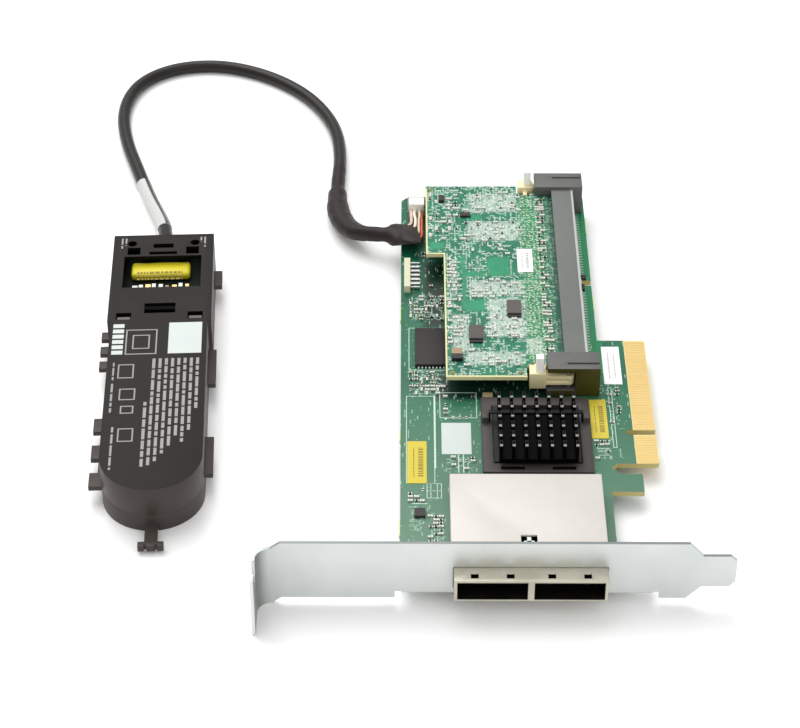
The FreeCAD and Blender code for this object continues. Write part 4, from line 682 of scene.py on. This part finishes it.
def nurbs(name, points, radius, turns=4):
    data = bpy.data.curves.new(name, "CURVE")
    data.dimensions = "3D"
    data.resolution_u = 10
    data.bevel_depth, data.bevel_resolution, data.use_fill_caps = radius, turns, True
    spline = data.splines.new("NURBS")
    spline.points.add(len(points) - 1)
    for point, spot in zip(spline.points, points):
        point.co = (*spot, 1)
    spline.order_u = 3
    spline.use_endpoint_u = True
    piece = bpy.data.objects.new(name, data)
    bpy.context.scene.collection.objects.link(piece)
    return piece


def linePoints(curve):
    thin = curve.copy()
    thin.data = curve.data.copy()
    thin.data.bevel_depth = 0
    line = bpy.data.meshes.new_from_object(thin)
    points = [vert.co.copy() for vert in line.vertices]
    bpy.data.objects.remove(thin)
    return points


def stations(points, start, end, step):
    runs = [0.0]
    for before, after in zip(points, points[1:]):
        runs.append(runs[-1] + (after - before).length)
    count = max(2, round((end - start) / step))
    places = []
    side = Vector((0, 0, 1))
    for k in range(count + 1):
        far = min(start + (end - start) * k / count, runs[-1])
        i = next(i for i in range(1, len(runs)) if runs[i] >= far - 1e-9)
        share = (far - runs[i - 1]) / (runs[i] - runs[i - 1])
        spot = points[i - 1].lerp(points[i], share)
        ahead = (points[min(i + 1, len(points) - 1)] - points[max(i - 2, 0)]).normalized()
        side = (side - ahead * side.dot(ahead)).normalized()
        across = ahead.cross(side)
        places.append(Matrix.Translation(spot) @ Matrix((across, side, ahead)).transposed().to_4x4())
    return places


def swept(places, sections, around):
    mesh = bmesh.new()
    rims = []
    for middle, (wide, high, twist) in zip(places, sections):
        turn = middle @ Matrix.Rotation(math.radians(twist), 4, "Z")
        turn = turn @ Matrix.Diagonal((wide * mm, high * mm, 1, 1))
        ends = len(rims) in (0, len(places) - 1)
        verts = bmesh.ops.create_circle(mesh, segments=around, radius=1, matrix=turn, cap_ends=ends)["verts"]
        rims.append({edge for vert in verts for edge in vert.link_edges})
    for before, after in zip(rims, rims[1:]):
        bmesh.ops.bridge_loops(mesh, edges=[*before, *after])
    bmesh.ops.recalc_face_normals(mesh, faces=mesh.faces)
    return mesh


def eased(table, share):
    for low, high in zip(table, table[1:]):
        if share <= high[0] or high is table[-1]:
            t = min(1, max(0, (share - low[0]) / (high[0] - low[0])))
            t = t * t * (3 - 2 * t)
            return [a + (b - a) * t for a, b in zip(low[1:], high[1:])]


def makeCable():
    route = [at(*spot) for spot in cable["route"]]
    jacket = nurbs("cableJacket", route, cable["diameter"] / 2 * mm, 6)
    jacket.data.materials.append(made["cableRubber"])
    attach(jacket, "card")
    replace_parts(jacket, "battery_cable")
    points = linePoints(jacket)
    whole = sum((after - before).length for before, after in zip(points, points[1:]))

    start = whole - sleeve["length"] * mm
    places = stations(points, start, whole, sleeve["step"] * mm)
    chance = random.Random(4)
    sections = []
    for k in range(len(places)):
        wide, high, twist = eased(sleeve["shape"], k / (len(places) - 1))
        crease = 1 + sleeve["wrinkle"] * (chance.random() - 0.5)
        sections.append((wide * crease, high * crease, twist))
    for step, turn, wide in sleeve["flare"]:
        turned = places[-1] @ Matrix.Rotation(math.radians(turn), 4, "Y")
        places.append(turned @ Matrix.Translation((0, 0, step * mm)))
        sections.append((wide, sections[-1][1] - sleeve["thinner"], twist))
    mesh = swept(places, sections, sleeve["around"])
    shrink = finished("shrinkSleeve", mesh, ["shrinkTube"], sleeve["smooth"])
    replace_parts(shrink, "cable_sleeve")

    places = stations(points, wrap["start"] * mm, wrap["end"] * mm, wrap["step"] * mm)
    mesh = swept(places, [(wrap["radius"], wrap["radius"], wrap["turn"])] * len(places), wrap["around"])
    for face in mesh.faces:
        face.material_index = 1 if face.normal.x > wrap["seam"] else 0
    paper = finished("cableLabel", mesh, ["labelPaper", "labelClear"], wrap["smooth"])
    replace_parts(paper, "cable_wrap")

    wires = []
    (beforeX, beforeY), (afterX, afterY), front = leads["before"], leads["after"], leads["plugFront"]
    for k, (finish, x, drop) in enumerate(leads["wires"]):
        level, lift = leads["level"] + drop, leads["rise"] * math.sin(leads["sway"] * k)
        y = leads["exit"][1] + (x - leads["exit"][0]) * leads["exit"][2]
        spots = [(*leads["end"], level), (x + beforeX, y + beforeY, level),
                 (x + afterX, y + afterY, level + lift), (x + 0.6 * lift, (y + front) / 2, level + lift),
                 (x - lift, front - leads["ahead"], level), (x, front + leads["into"], level)]
        wire = nurbs(f"lead{k + 1}", [at(*spot) for spot in spots], leads["radius"] * mm, 2)
        wire.data.materials.append(finishNamed(finish))
        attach(wire, "card")
        wires.append(wire)
    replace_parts(wires[0], "plug_leads")
    plug = softened("cablePlug", "cable_plug", "whitePlastic", "white_plastic", 0.25)
    print("cable laid")


# small parts on the boards
partKinds = {  # length, width, height, cap, body finish
    "resistor": (1.0, 0.5, 0.32, 0.2, 1), "capacitor": (1.0, 0.5, 0.5, 0.22, 2),
    "pale": (1.2, 0.65, 0.5, 0.25, 3), "array": (2.0, 0.9, 0.45, 0.0, 3), "grey": (1.4, 0.8, 0.4, 0.3, 3),
}
partFinishes = ["tinCap", "ceramicDark", "ceramicTan", "ceramicPale", "legBlack"]
moduleFields = [  # low x, low y, high x, high y, step x, step y, share, kinds
    (19.2, 151.4, 35.0, 161.8, 1.75, 1.3, 0.26, "pale grey pale resistor"),
    (19.2, 137.4, 35.0, 147.4, 1.75, 1.3, 0.26, "pale grey pale resistor"),
    (19.0, 110.4, 35.0, 118.8, 1.75, 1.3, 0.24, "pale grey pale"),
    (24.6, 92.2, 35.4, 103.0, 1.8, 1.35, 0.24, "pale grey pale"),
    (18.0, 79.6, 33.8, 86.6, 1.75, 1.3, 0.24, "pale grey pale"),
    (40.6, 84.0, 42.6, 159.0, 1.25, 1.3, 0.55, "resistor pale grey"),
    (13.8, 88.0, 16.8, 128.4, 1.5, 1.6, 0.5, "pale grey capacitor pale"),
    (8.6, 138.2, 18.2, 162.4, 1.9, 1.7, 0.34, "pale grey resistor array"),
    (19.0, 131.0, 32.8, 136.4, 2.0, 1.9, 0.28, "grey pale resistor"),
]
moduleBlocks = [  # low corner, high corner, height, finish
    (30.1, 100.9, 33.9, 102.1, 0.45, 4), (19.1, 89.4, 22.9, 90.6, 0.45, 4), (14.0, 81.3, 17.0, 83.4, 1.2, 4),
    (14.0, 83.4, 17.0, 85.8, 1.2, 2), (11.2, 156.8, 12.9, 159.6, 0.9, 4), (17.4, 149.2, 20.6, 151.0, 0.7, 1),
]
boardBlocks = [
    (3.7, 25.0, 6.5, 28.0, 0.9, 1), (22.4, 72.4, 25.2, 74.4, 1.1, 2), (52.35, 121.6, 53.3, 124.1, 0.7, 4),
    (52.35, 126.7, 53.9, 128.6, 0.7, 4),
]
boardFields = [
    (2.8, 107.9, 12.0, 119.2, 1.5, 1.5, 0.62, "pale capacitor resistor"),
    (2.8, 75.0, 12.6, 85.2, 1.5, 1.5, 0.60, "pale capacitor resistor"),
    (7.8, 16.4, 11.4, 27.0, 1.4, 1.3, 0.60, "pale resistor"),
    (2.6, 31.5, 6.4, 36.0, 1.6, 1.4, 0.45, "resistor pale"),
    (12.4, 44.0, 20.2, 49.4, 1.7, 1.5, 0.40, "resistor pale capacitor"),
    (12.2, 64.6, 20.6, 76.0, 1.9, 1.8, 0.30, "resistor pale capacitor"),
    (52.4, 48.2, 55.8, 55.6, 1.5, 1.4, 0.35, "resistor pale"),
    (57.2, 63.0, 60.2, 78.0, 2.2, 1.3, 0.35, "capacitor resistor"),
    (6.4, 138.0, 11.0, 150.0, 1.9, 1.8, 0.35, "resistor capacitor"),
    (6.6, 123.6, 12.6, 137.0, 2.1, 2.4, 0.22, "resistor capacitor"),
]
scatter = {"wander": 0.1, "turned": 0.35, "turnFrom": 1.3, "margin": 0.7, "cap": 0.02}
keepOut = {
    "module": [(18.4, 89.8, 23.8, 97.2), (29.6, 101.8, 34.8, 109.2), (33.3, 121.8, 38.6, 133.8)],
    "board": [(3.2, 84.8, 17.0, 104.6), (11.6, 12.0, 52.2, 36.0)],
}


def addPart(mesh, kind, foot, turned):
    long, wide, high, cap, index = partKinds[kind]
    along, across, up = Vector((1, 0, 0)), Vector((0, 1, 0)), Vector((0, 0, 1))
    if turned:
        along, across = across, along
    half = along * long / 2 + across * wide / 2
    addBox(mesh, at(*(foot - half)), at(*(foot + half + up * high)), index)
    if not cap:
        return
    grown = along * (cap / 2 + scatter["cap"]) + across * (wide / 2 + scatter["cap"])
    for side in (1, -1):
        end = foot + along * side * (long / 2 - cap / 2)
        addBox(mesh, at(*(end - grown)), at(*(end + grown + up * (high + scatter["cap"]))), 0)


def scatterParts(fields, blocks, level, bare, seed):
    mesh = bmesh.new()
    chance = random.Random(seed)
    wander, edge = scatter["wander"], scatter["margin"]
    for lowX, lowY, highX, highY, stepX, stepY, share, kinds in fields:
        for i in range(int((highX - lowX) / stepX) + 1):
            for j in range(int((highY - lowY) / stepY) + 1):
                kind, pick = chance.choice(kinds.split()), chance.random()
                turned = chance.random() < scatter["turned"] and stepY > scatter["turnFrom"]
                x = lowX + i * stepX + chance.uniform(-wander, wander)
                y = lowY + j * stepY + chance.uniform(-wander, wander)
                free = not any(a - edge < x < c + edge and b - edge < y < d + edge for a, b, c, d in bare)
                if pick <= share and free:
                    addPart(mesh, kind, Vector((x, y, level)), turned)
    for x0, y0, x1, y1, high, index in blocks:
        addBox(mesh, at(x0, y0, level), at(x1, y1, level + high), index)
    return mesh


def makeSmallParts():
    for name, node, fields, blocks, area, seed in (
            ("moduleParts", "module_bits", moduleFields, moduleBlocks, "module", 11),
            ("boardParts", "board_bits", boardFields, boardBlocks, "board", 7)):
        mesh = scatterParts(fields, blocks, levels[area], keepOut[area], seed)
        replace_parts(finished(name, mesh, partFinishes), node)
    print("small parts placed")


# print on the boards, the stickers and the pack, all of it plain bars and fields
printing = {"thickness": 0.02, "line": 0.22, "over": 0.001}
cardFrame = Matrix.Translation(at(0, 0, 0))
boardPrint = {
    "frames": [(1.5, 38.3, 9.2, 74.1), (10.6, 64.8, 20.8, 75.6), (2.2, 85.2, 17.2, 104.2),
               (6.9, 32.6, 10.9, 38.4), (56.9, 52.7, 58.0, 78.0)],
    "bars": [(7.9, 32.8, 8.1, 38.2), (9.6, 32.8, 9.8, 38.2), (6.9, 35.4, 10.9, 35.6), (3.0, 30.4, 7.2, 30.7),
             (15.3, 42.6, 15.6, 49.8), (16.6, 42.6, 16.9, 49.8), (9.2, 44.4, 9.5, 74.0),
             (52.6, 52.4, 55.8, 52.6), (52.6, 51.0, 55.8, 51.2), (52.6, 49.6, 55.8, 49.8),
             (11.9, 64.2, 12.6, 64.9)],
    "fields": [(11.0, 50.0, 19.0, 62.8)],
}


def addPrint(mesh, low, high, level, turn, index=0):
    top = level + printing["thickness"]
    addBox(mesh, Vector((*low, level)) * mm, Vector((*high, top)) * mm, index, turn)


def addFrame(mesh, x0, y0, x1, y1, line, level, turn):
    addPrint(mesh, (x0, y0), (x1, y0 + line), level, turn)
    addPrint(mesh, (x0, y1 - line), (x1, y1), level, turn)
    addPrint(mesh, (x0, y0 + line), (x0 + line, y1 - line), level, turn)
    addPrint(mesh, (x1 - line, y0 + line), (x1, y1 - line), level, turn)


def makeBoardPrint():
    mesh = bmesh.new()
    level = levels["board"]
    for corners in boardPrint["frames"]:
        addFrame(mesh, *corners, printing["line"], level, cardFrame)
    for x0, y0, x1, y1 in boardPrint["bars"]:
        addPrint(mesh, (x0, y0), (x1, y1), level + printing["over"], cardFrame)
    for x0, y0, x1, y1 in boardPrint["fields"]:
        addPrint(mesh, (x0, y0), (x1, y1), level, cardFrame, 1)
    finished("boardPrint", mesh, ["printInk", "whiteInk"])
    print("board print made")


stickers = [  # low x, low y, high x, high y, board, finish, slot, columns of bars as shares of the width
    (1.8, 38.3, 7.0, 55.1, "board", "yellowInk", "yellow_paper", [(0.30, 0.36), (0.56, 0.82)]),
    (51.4, 56.4, 56.0, 72.6, "board", "yellowInk", "yellow_paper", [(0.26, 0.32), (0.52, 0.80)]),
    (56.2, 79.2, 61.2, 95.7, "board", "greyInk", "white_paper", [(0.30, 0.37), (0.62, 0.69)]),
    (33.7, 122.2, 38.2, 133.4, "module", "greyInk", "white_paper", [(0.28, 0.36), (0.56, 0.74)]),
]
stickerBars = {"edge": 0.16, "run": (0.25, 0.7), "gap": (0.2, 0.45), "thickness": 0.12}


def makeStickerPrint():
    chance = random.Random(3)
    meshes = {}
    for x0, y0, x1, y1, area, ink, slot, columns in stickers:
        mesh = meshes.setdefault((ink, slot), bmesh.new())
        level = levels[area] + stickerBars["thickness"]
        edge = (y1 - y0) * stickerBars["edge"]
        for start, end in columns:
            left, right = x0 + (x1 - x0) * start, x0 + (x1 - x0) * end
            y = y0 + edge
            while y < y1 - edge:
                run = chance.uniform(*stickerBars["run"])
                addPrint(mesh, (left, y), (right, min(y + run, y1 - edge)), level, cardFrame)
                y += run + chance.uniform(*stickerBars["gap"])
    for (ink, slot), mesh in meshes.items():
        finished(ink + "Bars", mesh, [ink])
    print("sticker print made")


packPrint = {  # columns of short bars along the pack: x, start, end, thickness
    "columns": [(11.2, -57.6, -79.0, 0.85), (9.5, -57.6, -88.0, 0.85), (7.8, -57.6, -93.0, 0.85),
                (6.1, -57.6, -90.0, 0.85), (4.4, -57.6, -94.0, 0.85), (2.7, -57.6, -97.0, 0.85),
                (1.0, -57.6, -100.0, 0.85), (-0.7, -57.6, -102.0, 0.85), (-2.4, -76.0, -102.0, 0.85),
                (-11.6, -68.0, -80.0, 0.6), (-10.6, -86.0, -103.0, 0.6), (-11.6, -59.0, -66.5, 0.5),
                (-12.0, -1.5, -6.4, 0.5), (-10.9, -1.5, -5.0, 0.5), (12.0, -1.5, -6.4, 0.5),
                (10.9, -1.5, -4.0, 0.5)],
    "frames": [(-8.9, -55.6, -0.2, -44.6), (-7.0, -53.2, -2.2, -47.0), (-10.4, -65.8, -6.0, -59.8),
               (-9.6, -75.0, -5.2, -70.2), (-9.0, -80.6, -5.4, -77.4), (-9.2, -92.0, -5.0, -86.6)],
    "fields": [(2.9, -55.5, 12.1, -41.8)],
    "bold": [(-12.6, -42.0, 3.1, 1.7, 0.65, 6)],  # x, start, width, run, gap, count
    "line": 0.4, "run": (1.4, 4.6), "gap": (0.5, 0.8),
}
blockPrint = {"start": -7.4, "end": 5.6, "top": -15.1, "rows": 3, "row": 1.6, "high": 0.7,
              "run": (0.4, 1.3), "gap": 0.35}
gaugeChips = {"start": -8.6, "end": 8.2, "back": -20.8, "step": 1.9, "wide": (0.9, 1.6), "long": (1.2, 2.2),
              "high": (2.4, 3.6), "picks": (0, 1, 2, 2)}
clipLedges = {"at": [(-11.8, -39.2, -8.2, -37.9), (8.2, -39.2, 11.8, -37.9)], "low": 12.9, "high": 13.7}


def addColumn(mesh, chance, x, start, end, thick, level):
    y = start
    while y > end:
        low = max(end, y - chance.uniform(*packPrint["run"]))
        addPrint(mesh, (x - thick / 2, low), (x + thick / 2, y), level, packFrame)
        y = low - chance.uniform(*packPrint["gap"])


def makePackPrint():
    mesh = bmesh.new()
    chance = random.Random(9)
    level = levels["pack"]
    for x, start, end, thick in packPrint["columns"]:
        addColumn(mesh, chance, x, start, end, thick, level)
    for corners in packPrint["frames"]:
        addFrame(mesh, *corners, packPrint["line"], level, packFrame)
    for x, start, width, run, gap, count in packPrint["bold"]:
        for k in range(count):
            y = start - k * (run + gap)
            addPrint(mesh, (x, y - run), (x + width, y), level, packFrame, 1)
    for x0, y0, x1, y1 in packPrint["fields"]:
        addPrint(mesh, (x0, y0), (x1, y1), level, packFrame, 1)
    finished("packPrint", mesh, ["packInk", "whiteInk"])

    mesh = bmesh.new()
    look, level = blockPrint, place(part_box("gauge_block")[1]).z
    for row in range(look["rows"]):
        x, low = look["start"], look["top"] - row * look["row"]
        while x < look["end"]:
            run = chance.uniform(*look["run"])
            addPrint(mesh, (x, low), (min(x + run, look["end"]), low + look["high"]), level, packFrame)
            x += run + look["gap"]
    finished("blockPrint", mesh, ["yellowInk"])

    mesh = bmesh.new()
    look, x, y, z = gaugeChips, gaugeChips["start"], gaugeChips["back"], levels["gauge"]
    while x < look["end"]:
        wide, long, high = [chance.uniform(*look[key]) for key in ("wide", "long", "high")]
        low, top = Vector((x, y - long, z)), Vector((x + wide, y, z + high))
        addBox(mesh, low * mm, top * mm, chance.choice(look["picks"]), packFrame)
        x += look["step"]
    finished("gaugeChips", mesh, ["gold", "ceramicTan", "ceramicWhite"])

    mesh = bmesh.new()
    for x0, y0, x1, y1 in clipLedges["at"]:
        low, top = Vector((x0, y0, clipLedges["low"])), Vector((x1, y1, clipLedges["high"]))
        addBox(mesh, low * mm, top * mm, 0, packFrame)
    finished("clipLedges", mesh, ["ledgeGrey"])
    print("pack print made")


# moulded and cut pieces that stand for their CAD solids with eased edges
portInside = {"low": 5.95, "high": 11.8, "left": 14.1, "right": 50.9, "front": -4.8, "back": 1.0}
socketLooks = {"towerFront": 81.6, "towerRear": 160.2, "barTop": 13.5, "strip": 50.8, "shadeBack": 76.6,
               "shadeTop": 14.6, "knobLow": 13.4}
frameSlots = {"low": 6.2, "high": 7.35, "front": 0.9, "back": 2.6, "middle": 36.45, "half": 11.5}
packShadedInside = {"top": 14.2, "half": 13.6, "cellHalf": 12.6, "cellStart": -40.5, "front": -1.1, "end": -110.0,
              "roundStart": -97.5, "roundRadius": 12.7}


# faces inside the port's mouths, which take painted shade
def inMouth(spot, normal):
    look = portInside
    inside = look["low"] < spot.z < look["high"] and look["left"] < spot.x < look["right"]
    return inside and spot.y > look["front"] and (abs(normal.y) < 0.5 or spot.y > look["back"])


def onBarTop(spot, normal):
    return spot.z > socketLooks["barTop"] and socketLooks["towerFront"] < spot.y < socketLooks["towerRear"]


# the right strip of the bar top, which takes a painted highlight
def onBarHighlightStrip(spot, normal):
    return onBarTop(spot, normal) and spot.x > socketLooks["strip"]


def onTowerFront(spot, normal):
    return normal.y < -0.6 and spot.y < socketLooks["shadeBack"] and spot.z < socketLooks["shadeTop"]


# faces in the heat-sink frame's slots, which take painted shade
def inSlot(spot, normal):
    look, front = frameSlots, place(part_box("sink_frame")[0]).y
    along = front + look["front"] < spot.y < front + look["back"]
    return along and look["low"] < spot.z < look["high"] and abs(spot.x - look["middle"]) < look["half"]


def onKnob(spot, normal):
    return spot.z > socketLooks["knobLow"]


# faces inside the pack, which take painted shade
def inPack(spot, normal):
    look, local = packShadedInside, packFrame.inverted() @ at(*spot) / mm
    half = look["cellHalf"] if local.y < look["cellStart"] else look["half"]
    inside = abs(local.x) < half and look["end"] < local.y < look["front"] and local.z < look["top"]
    if local.y < look["roundStart"]:
        inside = inside and math.hypot(local.x, local.y - look["roundStart"]) <= look["roundRadius"]
    return inside and normal.z > -0.5


# the pack's upright walls, which take a painted lighter copy of the pack plastic
def onPackSide(spot, normal):
    return abs(normal.z) < 0.5 and not inPack(spot, normal)


mouldings = [  # new name, node, finish, slot, radius, other finishes and their faces, cut, body
    ("packGland", "strain_relief", "glandRubber", "gland_rubber", 0.5),
    ("chipPackage", "flash_chip", "chipEpoxy", "chip_black", 0.15),
    ("plugSeat", "plug_header", "whitePlastic", "white_plastic", 0.2),
    ("padBlock", "gauge_block", "yellowFoam", "yellow_block", 0.9),
    ("packCover", "battery_cover", "packPlastic", "pack_plastic", 0.35,
     [("packShadedInside", inPack), ("packLitSidePlastic", onPackSide)]),
    # the tray wears the painted lighter copy of the pack plastic
    ("packTray", "battery_tray", "packLitSidePlastic", "pack_plastic", 0.35),
    ("socketBody", "module_socket", "socketPlastic", "socket_plastic", 0.22,
     [("barPlastic", onBarTop), ("oliveShade", onTowerFront), ("barEdgeHighlight", onBarHighlightStrip)], socketLooks["strip"]),
    ("frontLatch", "latch_front", "ivoryPlastic", "ivory_plastic", 0.25,
     [("knobPlastic", onKnob)], None, "front_latch"),
    ("rearLatch", "latch_rear", "ivoryPlastic", "ivory_plastic", 0.25,
     [("knobPlastic", onKnob)], None, "rear_latch"),
    ("sinkSurround", "sink_frame", "framePlastic", "frame_plastic", 0.2, [("recessShade", inSlot)]),
    ("portShell", "port_cage", "cageTin", "tin", 0.5, [("recessShade", inMouth)]),
    ("portRim", "port_nose", "noseNickel", "nickel", 0.12, [("recessShade", inMouth)]),
]


def makeMouldings():
    for moulding in mouldings:
        softened(*moulding)
    print("moulded pieces eased")


nubs = {"reach": 0.28, "low": 4.3, "high": 5.6, "right": 55.3,
        "leftRuns": [(107.8, 114.8), (55.7, 59.8), (18.7, 24.3)],
        "rightRuns": [(150.0, 157.6), (112.4, 118.6)]}
cageSpring = {"bars": [(32.0, 6.6, 33.0, 11.6), (31.2, 9.2, 33.8, 10.2)], "low": 11.5, "high": 11.9}


def makeNubs():
    mesh = bmesh.new()
    for low, high, runs in ((-nubs["reach"], 0.0, "leftRuns"),
                            (nubs["right"], nubs["right"] + nubs["reach"], "rightRuns")):
        for start, end in nubs[runs]:
            addBox(mesh, at(low, start, nubs["low"]), at(high, end, nubs["high"]))
    finished("edgeNubs", mesh, ["edgeNub"])
    mesh = bmesh.new()
    for x0, y0, x1, y1 in cageSpring["bars"]:
        addBox(mesh, at(x0, y0, cageSpring["low"]), at(x1, y1, cageSpring["high"]))
    finished("cageSpring", mesh, ["socketTail"])
    print("edge nubs made")


coats = {  # finish, and the CAD pieces that wear it
    "mainGreen": ["main_board"], "gaugeGreenShaded": ["gauge_board"], "moduleGreen": ["cache_module"],
    "gold": ["contacts_top", "contacts_bottom", "port_contacts"], "bracketZinc": ["bracket"],
    "screwSteel": ["bracket_screws", "latch_pins"], "insulatorPlastic": ["port_insulators"],
    "memoryEpoxy": ["memory_chips", "controller_chip"], "regulatorTop": ["module_regulators"],
    "padGrey": ["thermal_pad"], "solder": ["solder_balls"], "blackAnodised": ["heat_sink"],
    "springDark": ["sink_spring"], "socketTail": ["socket_tails"], "headerPlastic": ["board_header"],
    "tinnedWire": ["flash_leads", "header_pins", "solder_tails", "gauge_parts"],
    "yellowPaper": ["yellow_stickers"], "whitePaper": ["white_stickers", "cell_strap"],
    "cellSteel": ["battery_cells"], "socketPlastic": ["gauge_posts"],
}


def dressNodes():
    boardFinish()
    moduleFinish()
    for finish, names in coats.items():
        for name in names:
            for coat in nodes[name].material_slots:
                coat.material = finishNamed(finish)
    print("solids dressed")


makeGroups()
makeCamera()
makeStudio()
bracketFinish()
cageFinish("cageTin", "#d1ccc5", "#cdc8c1", 0.5, 0.15)
cageFinish("noseNickel", "#cfcab9", "#bbb5a4", 0.42, 0.5)
sinkFinish()
cordFinish("cableRubber", "#0e0c0a", "#26221e", 0.34, 1.5, 0.3)
cordFinish("shrinkTube", "#171110", "#2b2220", 0.46, 2.5, 0.25)
cordFinish("labelPaper", "#b4b4b2", "#d2d2cf", 0.40, 2.0, 0.4)
cordFinish("labelClear", "#1e1c1b", "#3a3836", 0.20, 2.0, 0.7)
makeCable()
makeMouldings()
dressNodes()
makeNubs()
makeSmallParts()
makeBoardPrint()
makeStickerPrint()
makePackPrint()
